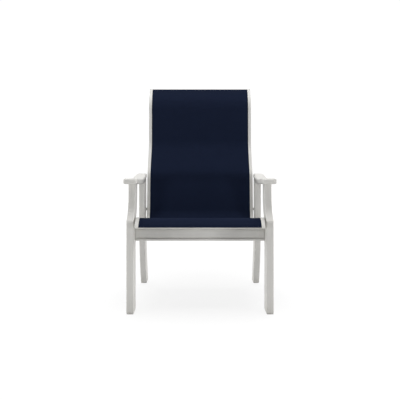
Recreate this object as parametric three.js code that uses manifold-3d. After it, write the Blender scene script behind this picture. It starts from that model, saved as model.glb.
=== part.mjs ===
// Sling patio chair with a high back.
// Millimetres, +Z up. The front of the chair faces -Y and X = 0 is its plane of symmetry.
// Left and right are the sitter's own, so left is +X.
// While the pieces are made, Y = 0 is the front face of the front feet. At the end the whole
// chair is moved along Y, so that the origin lies on the floor under the middle of its box.

import * as THREE from 'three';
import { mergeVertices } from 'three/addons/utils/BufferGeometryUtils.js';
import Module from 'manifold-3d';

const wasm = await Module();
wasm.setup();

// Clearances
const gap = 0.3;               // between two faces that touch
const overrun = 6;             // how far a cutting solid runs past what it cuts

// Fineness of the round work
const fastenerSides = 10;
const railStepDegrees = 12;    // turn of a rail between two of its corners
const armPlaces = 14;          // stretches along the bend of an arm

// Boards of the legs and arms
const boardThickness = 34;
const boardEdgeRadius = 4;

// Widths across the chair
const railSpan = 604;          // over the outer faces of the two sling rails
const railWidth = 17;
const spacerLength = 7.5;      // slit between a rail and the legs beside it
const armWidth = 66;

// Front legs
const frontFootDepth = 89;
const frontPostSetback = 72;   // front of the upper post behind the front of the foot
const frontPostDepth = 84;
const frontThroatRise = 115;   // height of the curve between the kink and the upright post
const frontHeelRise = 8;       // start of the back curve above the side stretcher
const frontHeelRadius = 80;    // hollow curve of the back edge
const frontShoulderRadius = 157; // full curve of the back edge

// Rear legs
const rearPostDepth = 86;
const rearBoltInset = 62.5;     // rear rail bolt behind the front edge of the rear post
const rearFootDepth = 90;
const rearFootKick = 101;      // how far the front edge sweeps back by the floor
const rearSweepHeight = 430;   // the sweep starts here

// Arms
const armThickness = 27;
const armEdgeFlat = 3;         // flat left between the round edges of the arm
const armAboveKnee = 177;      // top of the arm's nose above the corner of the knee
const armDip = 12;             // the middle of the arm lies this much below its nose
const armRise = 17.5;          // and the rear of the arm this much above the middle
const armDipShare = 0.38;      // place of the dip between the two posts
const armNoseOverhang = 67;    // nose in front of the front post
const armRearOverhang = 5;     // rear end behind the rear post
const armRearLevel = 78;       // length of level arm at the rear
const armRailClearance = 5;    // free room between the arm and the back rail
const armTaperLength = 60;     // the inner edge moves out over this length

// Sling rails: the corner points of the line that the front and top of the rails follow
const kneeSetback = 8;         // corner of the knee behind the front of the front feet
const kneeCornerHeight = 455;
const noseRun = 33.5;          // from the corner of the knee forward to the lower end of the rails
const noseDrop = 51.5;         // and down to it
const seatRun = 537;
const seatDrop = 104;
const lumbarRise = 281;
const lumbarLean = 29;
const reclineRise = 173;
const reclineLean = 97;
const uprightRise = 250;
const headRise = 86.5;
const headLean = 56;
const kneeInsideRadius = 51;   // inner side of the knee bend
const hollowRadius = 75;
const lumbarRadius = 150;
const shoulderRadius = 110;
const neckRadius = 150;
const railEdgeRadius = 1.5;

// Section of a sling rail, measured from its front face and from its inner side
const railDepth = 30;
const railWall = 2.5;
const slingDepth = 3.2;        // middle of the fabric behind the front face of the rail
const slingThickness = 2;
const slingFrontInset = 3.5;   // lower end of the fabric above the lower end of the rails
const grooveDepth = 5.2;       // middle of the groove behind the front face
const grooveLip = 2.5;
const splineRadius = 2.75;
const grooveWeb = 2.45;        // wall between the groove and the hollow chamber

// Rail ends
const capThickness = 3;
const capStubLength = 12;

// Bars between the rails
const spreaderHeight = 14;
const spreaderWidth = 30;
const spreaderCorner = 5;
const spreaderWall = 2;
const spreaderBossRadius = 5;
const spreaderFromKnee = 40;   // behind the end of the knee curve
const spreaderFromHollow = 20; // in front of the start of the hollow curve
const spreaderFromTop = 34;    // below the top end of the rails

// Rail bolts
const railBoltFromKnee = 8;    // behind the end of the knee curve
const railBoltFromHollow = 4;  // above the end of the hollow curve
const railBoltRadius = 4;
const railBoltReach = 13;      // length of bolt inside the rail
const railBoltHeadRadius = 8;
const railBoltHeadHeight = 4.5;
const socketRadius = 2.9;
const socketDepth = 2.6;
const spacerRadius = 10;

// Front apron
const apronBackInset = 3;      // its back in front of the back edge of the leg
const apronRailGap = 8.5;      // free height under the rails
const apronThickness = 24;
const apronHeight = 68;
const apronLip = 9;
const apronRecess = 5;
const apronEdgeRadius = 2;

// Bolts of the apron and the rear stretcher
const frameBoltRadius = 3;
const frameBoltReach = 36;     // length of bolt inside the cross piece
const frameBoltHeadRadius = 7;
const frameBoltHeadHeight = 3.5;
const apronBoltDrop = 11;      // upper bolt below the top of the apron
const apronBoltSpacing = 26;

// Side stretchers
const stretcherThickness = 24;
const stretcherEdgeRadius = 3;
const tenonThickness = 12;
const tenonHeight = 22;
const tenonLength = 30;
const tenonBelow = 8;          // shoulder of the stretcher below the tenon
const tenonAbove = 24;         // and above it
const tenonBoltGap = 8;        // wood between the tenon and the lower apron bolt
const tenonScrewRadius = 2.5;
const tenonScrewHeadRadius = 5;
const tenonScrewHeadHeight = 2.5;
const tenonScrewPast = 2;      // point of the screw past the tenon

// Rear stretcher
const rearStretcherThickness = 24;
const rearStretcherHeight = 60;
const rearStretcherGap = 11;   // free height under the lowest point of the rails
const rearStretcherSetback = 12; // its front face behind the front edge of the leg

// Arm screws and plugs
const armScrewRadius = 3;
const armScrewLength = 58;
const armScrewHeadRadius = 5.5;
const armScrewHeadHeight = 3;
const armPlugRadius = 6.5;
const armPlugHeight = 6;

// Screws of the bars between the rails
const spreaderScrewRadius = 2;
const spreaderScrewLength = 40;
const spreaderScrewHeadRadius = 4.5;
const spreaderScrewHeadHeight = 2.4;

// Foot glides
const glideThickness = 4;
const glideInset = 3.5;
const glideCorner = 5;
const glideStemRadius = 4;
const glideStemLength = 14;

// Finishes
const finishes = {
  board: { color: 0xdcdad6, roughness: 0.55, metalness: 0 },
  rail: { color: 0xdedcd8, roughness: 0.4, metalness: 0.1 },
  sling: { color: 0x151b2c, roughness: 0.85, metalness: 0 },
  plastic: { color: 0xb9b7b2, roughness: 0.6, metalness: 0 },
  steel: { color: 0xb4b4b4, roughness: 0.3, metalness: 1 },
  spline: { color: 0x2a2a2c, roughness: 0.7, metalness: 0 },
};

// Places that follow from the sizes
const railOuter = railSpan / 2;
const railInner = railOuter - railWidth;
const legInner = railOuter + spacerLength;
const legOuter = legInner + boardThickness;
const legMiddle = (legInner + legOuter) / 2;
const armInner = legMiddle - armWidth / 2;
const armOuter = legMiddle + armWidth / 2;
const legBottom = glideThickness + gap;
const frontPostBack = frontPostSetback + frontPostDepth;
const armFront = frontPostSetback - armNoseOverhang;
const armEdgeRadius = (armThickness - armEdgeFlat) / 2;
const armNoseHeight = kneeCornerHeight + armAboveKnee;
const kneeRadius = kneeInsideRadius + railDepth;
const chamberDepth = grooveDepth + splineRadius + gap + grooveWeb;

// Smooth 0 to 1 step used by the bend and the taper of the arm
function ease(place, start, end) {
  const share = Math.min(1, Math.max(0, (place - start) / (end - start)));
  return (1 - Math.cos(Math.PI * share)) / 2;
}

// Closed geometry to solid and back
function toSolid(geometry) {
  const bare = geometry.clone();
  bare.deleteAttribute('normal');
  bare.deleteAttribute('uv');
  const merged = mergeVertices(bare);
  const vertProperties = new Float32Array(merged.attributes.position.array);
  const triVerts = new Uint32Array(merged.index.array);
  return new wasm.Manifold(new wasm.Mesh({ numProp: 3, vertProperties, triVerts }));
}

function toGeometry(solid) {
  const mesh = solid.getMesh();
  const geometry = new THREE.BufferGeometry();
  geometry.setAttribute('position', new THREE.BufferAttribute(mesh.vertProperties, 3));
  geometry.setIndex(new THREE.BufferAttribute(mesh.triVerts, 1));
  geometry.computeVertexNormals();
  return geometry;
}

function cut(geometry, cutters) {
  let solid = toSolid(geometry);
  for (const cutter of cutters) {
    solid = solid.subtract(toSolid(cutter));
  }
  return toGeometry(solid);
}

function join(geometries) {
  let solid = toSolid(geometries[0]);
  for (const geometry of geometries.slice(1)) {
    solid = solid.add(toSolid(geometry));
  }
  return toGeometry(solid);
}

function common(geometry, other) {
  return toGeometry(toSolid(geometry).intersect(toSolid(other)));
}

// Mirror image in the plane X = 0, with its faces still pointing out
function mirrored(geometry) {
  const copy = geometry.index ? geometry.toNonIndexed() : geometry.clone();
  copy.scale(-1, 1, 1);
  const position = copy.attributes.position;
  const corner = new THREE.Vector3();
  const other = new THREE.Vector3();
  for (let i = 0; i < position.count; i += 3) {
    corner.fromBufferAttribute(position, i);
    other.fromBufferAttribute(position, i + 1);
    position.setXYZ(i, other.x, other.y, other.z);
    position.setXYZ(i + 1, corner.x, corner.y, corner.z);
  }
  copy.computeVertexNormals();
  return copy;
}

// An outline drawn in Y and Z becomes a plate from x = low to x = high, with eased edges
const acrossChair = new THREE.Matrix4().set(0, 0, 1, 0, 1, 0, 0, 0, 0, 1, 0, 0, 0, 0, 0, 1);

function plate(outline, low, high, edge = 0, curveSegments = 6, bevelSegments = 2) {
  const geometry = new THREE.ExtrudeGeometry(outline, {
    depth: high - low - 2 * edge,
    steps: 1,
    curveSegments,
    bevelEnabled: edge > 0,
    bevelSize: edge,
    bevelOffset: -edge,
    bevelThickness: edge,
    bevelSegments,
  });
  geometry.translate(0, 0, low + edge);
  geometry.applyMatrix4(acrossChair);
  return geometry;
}

function roundedRectangle(width, height, radius) {
  const shape = new THREE.Shape();
  const right = width / 2 - radius;
  const top = height / 2 - radius;
  shape.absarc(right, -top, radius, -Math.PI / 2, 0, false);
  shape.absarc(right, top, radius, 0, Math.PI / 2, false);
  shape.absarc(-right, top, radius, Math.PI / 2, Math.PI, false);
  shape.absarc(-right, -top, radius, Math.PI, 1.5 * Math.PI, false);
  shape.closePath();
  return shape;
}

// The corners of a regular polygon about the origin
function ring(radius, sides) {
  const points = [];
  for (let i = 0; i < sides; i += 1) {
    const angle = (2 * Math.PI * (i + 0.5)) / sides;
    points.push(new THREE.Vector2(radius * Math.cos(angle), radius * Math.sin(angle)));
  }
  return points;
}

// Rods along X and along Z
function rodX(radius, low, high, y, z, sides = 16) {
  const geometry = new THREE.CylinderGeometry(radius, radius, high - low, sides);
  geometry.rotateZ(-Math.PI / 2);
  geometry.translate((low + high) / 2, y, z);
  return geometry;
}

function rodZ(radius, low, high, x, y, sides = 16) {
  const geometry = new THREE.CylinderGeometry(radius, radius, high - low, sides);
  geometry.rotateX(Math.PI / 2);
  geometry.translate(x, y, (low + high) / 2);
  return geometry;
}

// A screw or bolt on the Y axis: its head stands above y = 0 and its shank hangs below.
// A pointed one is a wood screw; a blunt one is a bolt with a hexagon socket.
function fastener(head, headHeight, shank, length, pointed) {
  const shoulder = headHeight / 3;
  const tip = pointed ? length - shank : length;
  const profile = [
    new THREE.Vector2(0, -length),
    new THREE.Vector2(pointed ? shank / 3 : shank, -length),
    new THREE.Vector2(shank, -tip),
    new THREE.Vector2(shank, 0),
    new THREE.Vector2(head, 0),
    new THREE.Vector2(head, shoulder),
    new THREE.Vector2(head - shoulder, headHeight),
    new THREE.Vector2(0, headHeight),
  ];
  if (pointed) {
    return new THREE.LatheGeometry(profile, fastenerSides);
  }
  profile.splice(2, 1);
  const solid = new THREE.LatheGeometry(profile, fastenerSides);
  const socketWidth = Math.min(socketRadius, head / 2);
  const socketFloor = headHeight - Math.min(socketDepth, 2 * shoulder);
  const socket = new THREE.CylinderGeometry(socketWidth, socketWidth, overrun, 6);
  socket.translate(0, socketFloor + overrun / 2, 0);
  return cut(solid, [socket]);
}

// The line of the sling rails in Y and Z: straight runs joined by arcs
class RailLine {
  constructor(corners, radii) {
    this.stations = [];
    this.arcs = [];
    const steps = corners.slice(1).map((corner, i) => corner.clone().sub(corners[i]).normalize());
    this.add(corners[0], steps[0]);
    for (let i = 0; i < radii.length; i += 1) {
      const turn = steps[i].cross(steps[i + 1]) > 0 ? 1 : -1;
      const angle = Math.acos(steps[i].dot(steps[i + 1]));
      const start = corners[i + 1].clone().addScaledVector(steps[i], -radii[i] * Math.tan(angle / 2));
      const toCentre = new THREE.Vector2(-steps[i].y, steps[i].x).multiplyScalar(turn * radii[i]);
      const centre = start.clone().add(toCentre);
      const count = Math.ceil(angle / THREE.MathUtils.degToRad(railStepDegrees));
      for (let k = 0; k <= count; k += 1) {
        const turned = (turn * angle * k) / count;
        const point = start.clone().rotateAround(centre, turned);
        const tangent = steps[i].clone().rotateAround(new THREE.Vector2(), turned);
        this.add(point, tangent);
      }
      const last = this.stations.length - 1;
      this.arcs.push({ centre, start: this.stations[last - count], end: this.stations[last] });
    }
    this.add(corners[corners.length - 1], steps[steps.length - 1]);
  }

  add(point, tangent) {
    this.stations.push({ point, tangent });
  }

  // A place a given way along a straight run from a station, and a given depth behind the line
  static place(station, along, depth) {
    const behind = new THREE.Vector2(station.tangent.y, -station.tangent.x);
    return station.point.clone().addScaledVector(station.tangent, along).addScaledVector(behind, depth);
  }

  // The stations between the two ends, each end drawn in by its trim
  trimmed(footTrim, headTrim) {
    const list = this.stations.slice();
    const last = list.length - 1;
    list[0] = { point: RailLine.place(list[0], footTrim, 0), tangent: list[0].tangent };
    list[last] = { point: RailLine.place(list[last], -headTrim, 0), tangent: list[last].tangent };
    return list;
  }

  // How far back the front face of the back rests at a height
  backFaceAt(height) {
    const above = this.stations.findLastIndex((station) => station.point.y < height) + 1;
    const high = this.stations[above].point;
    const low = this.stations[above - 1].point;
    return low.x + ((high.x - low.x) * (height - low.y)) / (high.y - low.y);
  }

  // The band between two depths behind the line
  band(front, back, footTrim, headTrim = footTrim) {
    const list = this.trimmed(footTrim, headTrim);
    const frontEdge = list.map((station) => RailLine.place(station, 0, front));
    const backEdge = list.map((station) => RailLine.place(station, 0, back)).reverse();
    return new THREE.Shape([...backEdge, ...frontEdge]);
  }
}

function cornersFrom(start, moves) {
  const corners = [start];
  for (const [along, up] of moves) {
    const last = corners[corners.length - 1];
    corners.push(new THREE.Vector2(last.x + along, last.y + up));
  }
  return corners;
}

const railLine = new RailLine(
  cornersFrom(new THREE.Vector2(kneeSetback - noseRun, kneeCornerHeight - noseDrop), [
    [noseRun, noseDrop],
    [seatRun, -seatDrop],
    [lumbarLean, lumbarRise],
    [reclineLean, reclineRise],
    [0, uprightRise],
    [headLean, headRise],
  ]),
  [kneeRadius, hollowRadius, lumbarRadius, shoulderRadius, neckRadius],
);
const [kneeArc, hollowArc] = railLine.arcs;
const railFoot = railLine.stations[0];
const railHead = railLine.stations[railLine.stations.length - 1];
const chamberMiddle = (chamberDepth + railDepth - railWall) / 2;

// What crosses the rails: two bolts into the legs and three bars
const railBolts = {
  front: RailLine.place(kneeArc.end, railBoltFromKnee, chamberMiddle),
  rear: RailLine.place(hollowArc.end, railBoltFromHollow, chamberMiddle),
};
const spreaders = {
  front: { station: kneeArc.end, along: spreaderFromKnee },
  seat: { station: hollowArc.start, along: -spreaderFromHollow },
  top: { station: railHead, along: -spreaderFromTop },
};

// Places of the posts, the arms and the cross pieces, which follow from the rails
const rearPostFront = railBolts.rear.x - rearBoltInset;
const rearPostBack = rearPostFront + rearPostDepth;
const armRear = rearPostBack + armRearOverhang;
const armDipPlace = frontPostBack + armDipShare * (rearPostFront - frontPostBack);
const apronBack = frontFootDepth - apronBackInset;
const apronSetback = apronBack - apronThickness;
const apronMiddle = apronBack - apronThickness / 2;
const seatFall = Math.atan2(seatDrop, seatRun);
const railFall = (apronBack - kneeSetback) * Math.tan(seatFall);
const railUnderside = kneeCornerHeight - railFall - railDepth / Math.cos(seatFall);
const apronTop = railUnderside - apronRailGap;
const apronBottom = apronTop - apronHeight;
const apronBolts = {
  upper: apronTop - apronBoltDrop,
  lower: apronTop - apronBoltDrop - apronBoltSpacing,
};
const tenonTop = apronBolts.lower - frameBoltRadius - tenonBoltGap;
const tenonMiddle = tenonTop - tenonHeight / 2;
const stretcherTop = tenonTop + tenonAbove;
const stretcherBottom = tenonTop - tenonHeight - tenonBelow;
const railLowest = hollowArc.centre.y - hollowRadius - railDepth;
const rearStretcherMiddle = railLowest - rearStretcherGap - rearStretcherHeight / 2;
const armScrews = {
  front: (frontPostSetback + frontPostBack) / 2,
  rear: (rearPostFront + rearPostBack) / 2,
};

// The back edge of the front leg: two arcs that meet between the foot and the post
const heelRise = frontPostBack - frontFootDepth;
const heelRadii = frontHeelRadius + frontShoulderRadius;
const heelClimb = Math.sqrt(heelRadii ** 2 - (heelRadii - heelRise) ** 2);
const frontHeelHeight = stretcherTop + frontHeelRise;
const frontCurveHeight = frontHeelHeight + heelClimb;

// Edges of the legs
function sweepRadius(height, reach) {
  return (height * height + reach * reach) / (2 * reach);
}

function rearEdge(front, kick, height) {
  const radius = sweepRadius(rearSweepHeight, kick);
  const drop = Math.max(0, rearSweepHeight - height);
  return front + radius - Math.sqrt(radius * radius - drop * drop);
}

function armTop(place) {
  const noseEnd = armFront + armThickness / 2;
  const down = armDip * ease(place, noseEnd, armDipPlace);
  const up = armRise * ease(place, armDipPlace, armRear - armRearLevel);
  return armNoseHeight - down + up;
}

function armUnder(place) {
  return armTop(place) - armThickness;
}

// The top of a post, cut to the underside of the arm, from its back edge to its front edge
function postTop(front, back) {
  const points = [];
  const count = 6;
  for (let i = 0; i <= count; i += 1) {
    const place = back + ((front - back) * i) / count;
    points.push(new THREE.Vector2(place, armUnder(place) - gap));
  }
  return points;
}

function frontLegOutline() {
  const meet = Math.atan2(-heelClimb, heelRadii - heelRise);
  const throat = sweepRadius(frontThroatRise, frontPostSetback);
  const kink = Math.asin(frontThroatRise / throat);
  const shape = new THREE.Shape();
  shape.moveTo(0, legBottom);
  shape.lineTo(frontFootDepth, legBottom);
  shape.absarc(frontFootDepth + frontHeelRadius, frontHeelHeight, frontHeelRadius,
    Math.PI, Math.PI + meet, true);
  shape.absarc(frontPostBack - frontShoulderRadius, frontCurveHeight, frontShoulderRadius,
    meet, 0, false);
  for (const point of postTop(frontPostSetback, frontPostBack)) {
    shape.lineTo(point.x, point.y);
  }
  shape.absarc(frontPostSetback - throat, frontCurveHeight, throat, 0, -kink, true);
  shape.closePath();
  return shape;
}

function rearLegOutline() {
  const backKick = rearPostFront + rearFootKick + rearFootDepth - rearPostBack;
  const backRadius = sweepRadius(rearSweepHeight, backKick);
  const frontRadius = sweepRadius(rearSweepHeight, rearFootKick);
  const backTurn = Math.asin((rearSweepHeight - legBottom) / backRadius);
  const frontTurn = Math.asin((rearSweepHeight - legBottom) / frontRadius);
  const shape = new THREE.Shape();
  shape.absarc(rearPostBack + backRadius, rearSweepHeight, backRadius,
    Math.PI + backTurn, Math.PI, true);
  for (const point of postTop(rearPostFront, rearPostBack)) {
    shape.lineTo(point.x, point.y);
  }
  shape.absarc(rearPostFront + frontRadius, rearSweepHeight, frontRadius,
    Math.PI, Math.PI + frontTurn, false);
  shape.closePath();
  return shape;
}

function armOutline() {
  const radius = armThickness / 2;
  const front = armFront + radius;
  const back = armRear - radius;
  const places = [];
  for (let i = 0; i <= armPlaces; i += 1) {
    places.push(front + ((back - front) * i) / armPlaces);
  }
  const shape = new THREE.Shape();
  shape.absarc(front, armTop(front) - radius, radius, Math.PI / 2, 1.5 * Math.PI, false);
  for (const place of places) {
    shape.lineTo(place, armUnder(place));
  }
  shape.absarc(back, armTop(back) - radius, radius, -Math.PI / 2, Math.PI / 2, false);
  for (const place of places.reverse()) {
    shape.lineTo(place, armTop(place));
  }
  shape.closePath();
  return shape;
}

// What is cut off the inner edge of the arm, where the back rail passes it
function armTaperCutter() {
  const taperEnd = railLine.backFaceAt(armUnder(rearPostFront)) - 2 * armRailClearance;
  const taperStart = taperEnd - armTaperLength;
  const shape = new THREE.Shape();
  const count = 8;
  shape.moveTo(armInner - overrun, armRear + overrun);
  shape.lineTo(armInner - overrun, taperStart);
  for (let i = 0; i <= count; i += 1) {
    const place = taperStart + (armTaperLength * i) / count;
    const shift = railOuter + armRailClearance - armInner;
    shape.lineTo(armInner + shift * ease(place, taperStart, taperEnd), place);
  }
  shape.lineTo(railOuter + armRailClearance, armRear + overrun);
  shape.closePath();
  const bottom = armNoseHeight - armDip - armThickness - overrun;
  const top = armNoseHeight + armRise + overrun;
  const geometry = new THREE.ExtrudeGeometry(shape, { depth: top - bottom, bevelEnabled: false });
  geometry.translate(0, 0, bottom);
  return geometry;
}

// Places that follow the sweep of the rear legs
const rearStretcherFront = rearEdge(rearPostFront, rearFootKick, rearStretcherMiddle)
  + rearStretcherSetback;
const rearStretcherCentre = rearStretcherFront + rearStretcherThickness / 2;
const tenonScrews = {
  front: frontFootDepth - tenonLength / 2,
  rear: rearEdge(rearPostFront, rearFootKick, tenonMiddle) + tenonLength / 2,
};

function mortise(place, direction) {
  const shape = new THREE.Shape();
  const near = place - direction * overrun;
  const far = place + direction * (tenonLength + gap);
  const low = tenonMiddle - tenonHeight / 2 - gap;
  const high = tenonMiddle + tenonHeight / 2 + gap;
  shape.moveTo(Math.min(near, far), low);
  shape.lineTo(Math.max(near, far), low);
  shape.lineTo(Math.max(near, far), high);
  shape.lineTo(Math.min(near, far), high);
  shape.closePath();
  return plate(shape, legMiddle - tenonThickness / 2 - gap, legMiddle + tenonThickness / 2 + gap);
}

// A hole for a screw that runs in from the outer side of a leg
function tenonScrewHole(y) {
  const reach = legMiddle - tenonThickness / 2 - tenonScrewPast;
  const radius = tenonScrewRadius + gap;
  return rodX(radius, reach - gap, legOuter + overrun, y, tenonMiddle, 12);
}

// An upright hole for a screw that runs down from the arm
function armScrewHole(y) {
  const seat = armTop(y) - armPlugHeight - armScrewHeadHeight - 2 * gap;
  const bottom = seat - armScrewLength - gap;
  return rodZ(armScrewRadius + gap, bottom, armTop(y) + overrun, legMiddle, y, 12);
}

// A hole through a leg from side to side
function legHole(radius, y, z, sides) {
  return rodX(radius + gap, legInner - overrun, legOuter + overrun, y, z, sides);
}

function frontLeg() {
  return cut(plate(frontLegOutline(), legInner, legOuter, boardEdgeRadius, 5), [
    legHole(railBoltRadius, railBolts.front.x, railBolts.front.y),
    legHole(frameBoltRadius, apronMiddle, apronBolts.upper, 12),
    legHole(frameBoltRadius, apronMiddle, apronBolts.lower, 12),
    mortise(frontFootDepth, -1),
    tenonScrewHole(tenonScrews.front),
    armScrewHole(armScrews.front),
    glideHole(frontFootDepth / 2),
  ]);
}

function rearLeg() {
  const tenonPlace = rearEdge(rearPostFront, rearFootKick, tenonMiddle + tenonHeight / 2);
  return cut(plate(rearLegOutline(), legInner, legOuter, boardEdgeRadius, 5), [
    legHole(railBoltRadius, railBolts.rear.x, railBolts.rear.y),
    legHole(frameBoltRadius, rearStretcherCentre, rearStretcherMiddle, 12),
    mortise(tenonPlace, 1),
    tenonScrewHole(tenonScrews.rear),
    armScrewHole(armScrews.rear),
    glideHole(rearPostFront + rearFootKick + rearFootDepth / 2),
  ]);
}

function arm() {
  const cutters = [armTaperCutter()];
  for (const y of Object.values(armScrews)) {
    const seat = armTop(y) - armPlugHeight - armScrewHeadHeight - 2 * gap;
    cutters.push(armScrewHole(y));
    cutters.push(rodZ(armPlugRadius + gap, seat, armTop(y) + overrun, legMiddle, y));
  }
  return cut(plate(armOutline(), armInner, armOuter, armEdgeRadius, 4, 3), cutters);
}

// The plug is flush with the arm at its middle
function armPlug(y) {
  return rodZ(armPlugRadius, armTop(y) - armPlugHeight, armTop(y), legMiddle, y);
}

function armScrew(y) {
  const seat = armTop(y) - armPlugHeight - armScrewHeadHeight - gap;
  const geometry = fastener(armScrewHeadRadius, armScrewHeadHeight, armScrewRadius, armScrewLength, true);
  geometry.rotateX(Math.PI / 2);
  geometry.translate(legMiddle, y, seat);
  return geometry;
}

// The foot glide: a plate under the foot with a stem pressed into it
function glideHole(y) {
  const top = legBottom + glideStemLength + gap;
  return rodZ(glideStemRadius + gap, legBottom - overrun, top, legMiddle, y, 12);
}

function footGlide(front, depth) {
  const outline = roundedRectangle(boardThickness - 2 * glideInset, depth - 2 * glideInset, glideCorner);
  const pad = new THREE.ExtrudeGeometry(outline, {
    depth: glideThickness,
    bevelEnabled: false,
    curveSegments: 4,
  });
  const centre = front + depth / 2;
  const top = legBottom + glideStemLength;
  pad.translate(legMiddle, centre, 0);
  const stem = rodZ(glideStemRadius, glideThickness / 2, top, legMiddle, centre, 12);
  return join([pad, stem]);
}

function frontApron() {
  const face = apronSetback + apronRecess;
  const shape = new THREE.Shape();
  shape.moveTo(apronSetback, apronBottom);
  shape.lineTo(apronBack, apronBottom);
  shape.lineTo(apronBack, apronTop);
  shape.lineTo(apronSetback, apronTop);
  shape.lineTo(apronSetback, apronTop - apronLip);
  shape.lineTo(face, apronTop - apronLip);
  shape.lineTo(face, apronBottom + apronLip);
  shape.lineTo(apronSetback, apronBottom + apronLip);
  shape.closePath();
  const end = legInner - gap;
  const depth = end - frameBoltReach;
  const cutters = [];
  for (const z of Object.values(apronBolts)) {
    cutters.push(rodX(frameBoltRadius + gap, depth - gap, end + overrun, apronMiddle, z, 12));
    cutters.push(rodX(frameBoltRadius + gap, -end - overrun, gap - depth, apronMiddle, z, 12));
  }
  return cut(plate(shape, -end, end, apronEdgeRadius, 4, 1), cutters);
}

function rearStretcher() {
  const outline = roundedRectangle(rearStretcherThickness, rearStretcherHeight, stretcherEdgeRadius);
  const end = legInner - gap;
  const depth = end - frameBoltReach;
  const geometry = plate(outline, -end, end, 0, 3);
  geometry.translate(0, rearStretcherCentre, rearStretcherMiddle);
  return cut(geometry, [
    rodX(frameBoltRadius + gap, depth - gap, end + overrun, rearStretcherCentre, rearStretcherMiddle, 12),
    rodX(frameBoltRadius + gap, -end - overrun, gap - depth, rearStretcherCentre, rearStretcherMiddle, 12),
  ]);
}

// The side stretcher with a tenon at each end. Its rear end follows the edge of the rear leg.
function sideStretcher() {
  const front = frontFootDepth + gap;
  const shape = new THREE.Shape();
  shape.moveTo(front, stretcherBottom);
  const count = 4;
  for (let i = 0; i <= count; i += 1) {
    const height = stretcherBottom + ((stretcherTop - stretcherBottom) * i) / count;
    shape.lineTo(rearEdge(rearPostFront, rearFootKick, height) - 2 * gap, height);
  }
  shape.lineTo(front, stretcherTop);
  shape.closePath();
  const low = legMiddle - stretcherThickness / 2;
  const body = plate(shape, low, low + stretcherThickness, stretcherEdgeRadius, 3);
  const tenonBack = rearEdge(rearPostFront, rearFootKick, tenonMiddle + tenonHeight / 2) + tenonLength;
  const tenonFront = frontFootDepth - tenonLength;
  const outline = roundedRectangle(tenonBack - tenonFront, tenonHeight, stretcherEdgeRadius);
  const tenon = plate(outline, legMiddle - tenonThickness / 2, legMiddle + tenonThickness / 2, 0, 2);
  tenon.translate(0, (tenonBack + tenonFront) / 2, tenonMiddle);
  return cut(join([body, tenon]), Object.values(tenonScrews).map(tenonScrewHole));
}

function tenonScrew(y) {
  const reach = legMiddle - tenonThickness / 2 - tenonScrewPast;
  const geometry = fastener(tenonScrewHeadRadius, tenonScrewHeadHeight, tenonScrewRadius,
    legOuter + gap - reach, true);
  geometry.rotateZ(-Math.PI / 2);
  geometry.translate(legOuter + gap, y, tenonMiddle);
  return geometry;
}

// A bolt whose head lies on the outer side of a leg
function legBolt(headRadius, headHeight, radius, reach, y, z) {
  const geometry = fastener(headRadius, headHeight, radius, legOuter + gap - reach, false);
  geometry.rotateZ(-Math.PI / 2);
  geometry.translate(legOuter + gap, y, z);
  return geometry;
}

function railBolt(spot) {
  return legBolt(railBoltHeadRadius, railBoltHeadHeight, railBoltRadius, railOuter - railBoltReach,
    spot.x, spot.y);
}

function railSpacer(spot) {
  const tube = rodX(spacerRadius, railOuter + gap, legInner - gap, spot.x, spot.y, 20);
  return cut(tube, [rodX(railBoltRadius + gap, railOuter - overrun, legInner + overrun, spot.x, spot.y)]);
}

// The slot that lets the fabric into the groove of the rail and past the cap
function grooveMouth() {
  const half = slingThickness / 2 + gap;
  const slot = railLine.band(slingDepth - half, slingDepth + half, -overrun);
  return plate(slot, railInner - overrun, railInner + grooveLip + gap);
}

// The sling rail: an extrusion with a groove for the fabric and a hollow chamber behind it
function slingRail() {
  const grooveHalf = splineRadius + gap;
  const grooveSide = railInner + grooveLip;
  const grooveEnd = grooveSide + 2 * grooveHalf;
  const pastEnds = -overrun;
  const groove = railLine.band(grooveDepth - grooveHalf, grooveDepth + grooveHalf, pastEnds);
  const chamber = railLine.band(chamberDepth, railDepth - railWall, pastEnds);
  const cutters = [
    grooveMouth(),
    plate(groove, grooveSide, grooveEnd),
    plate(chamber, railInner + railWall, railOuter - railWall),
    rodX(railBoltRadius + gap, railOuter - railBoltReach - gap, railOuter + overrun,
      railBolts.front.x, railBolts.front.y),
    rodX(railBoltRadius + gap, railOuter - railBoltReach - gap, railOuter + overrun,
      railBolts.rear.x, railBolts.rear.y),
  ];
  for (const { station, along } of Object.values(spreaders)) {
    const spot = RailLine.place(station, along, chamberMiddle);
    const radius = spreaderScrewRadius + gap;
    cutters.push(rodX(radius, railInner - overrun, railOuter + overrun, spot.x, spot.y, 12));
  }
  const outline = railLine.band(0, railDepth, capThickness + gap);
  return cut(plate(outline, railInner, railOuter, railEdgeRadius, 1, 1), cutters);
}

// A rod that follows the line at the depth of the groove
class SplineLine extends THREE.Curve {
  constructor(stations, x) {
    super();
    this.stations = stations;
    this.x = x;
  }

  station(share) {
    return this.stations[Math.round(share * (this.stations.length - 1))];
  }

  getPointAt(share) {
    const spot = RailLine.place(this.station(share), 0, grooveDepth);
    return new THREE.Vector3(this.x, spot.x, spot.y);
  }

  getTangentAt(share) {
    const { tangent } = this.station(share);
    return new THREE.Vector3(0, tangent.x, tangent.y);
  }
}

function slingSpline() {
  const trim = capThickness + capStubLength;
  const stations = railLine.trimmed(trim, trim);
  const x = railInner + grooveLip + gap + splineRadius;
  return new THREE.ExtrudeGeometry(new THREE.Shape(ring(splineRadius, 8)), {
    steps: stations.length - 1,
    extrudePath: new SplineLine(stations, x),
    bevelEnabled: false,
  });
}

// At the top the fabric ends flush with the caps
function slingPanel() {
  const half = slingThickness / 2;
  const edge = railInner + grooveLip;
  const footTrim = capThickness + slingFrontInset;
  return plate(railLine.band(slingDepth - half, slingDepth + half, footTrim, 0), -edge, edge);
}

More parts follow.
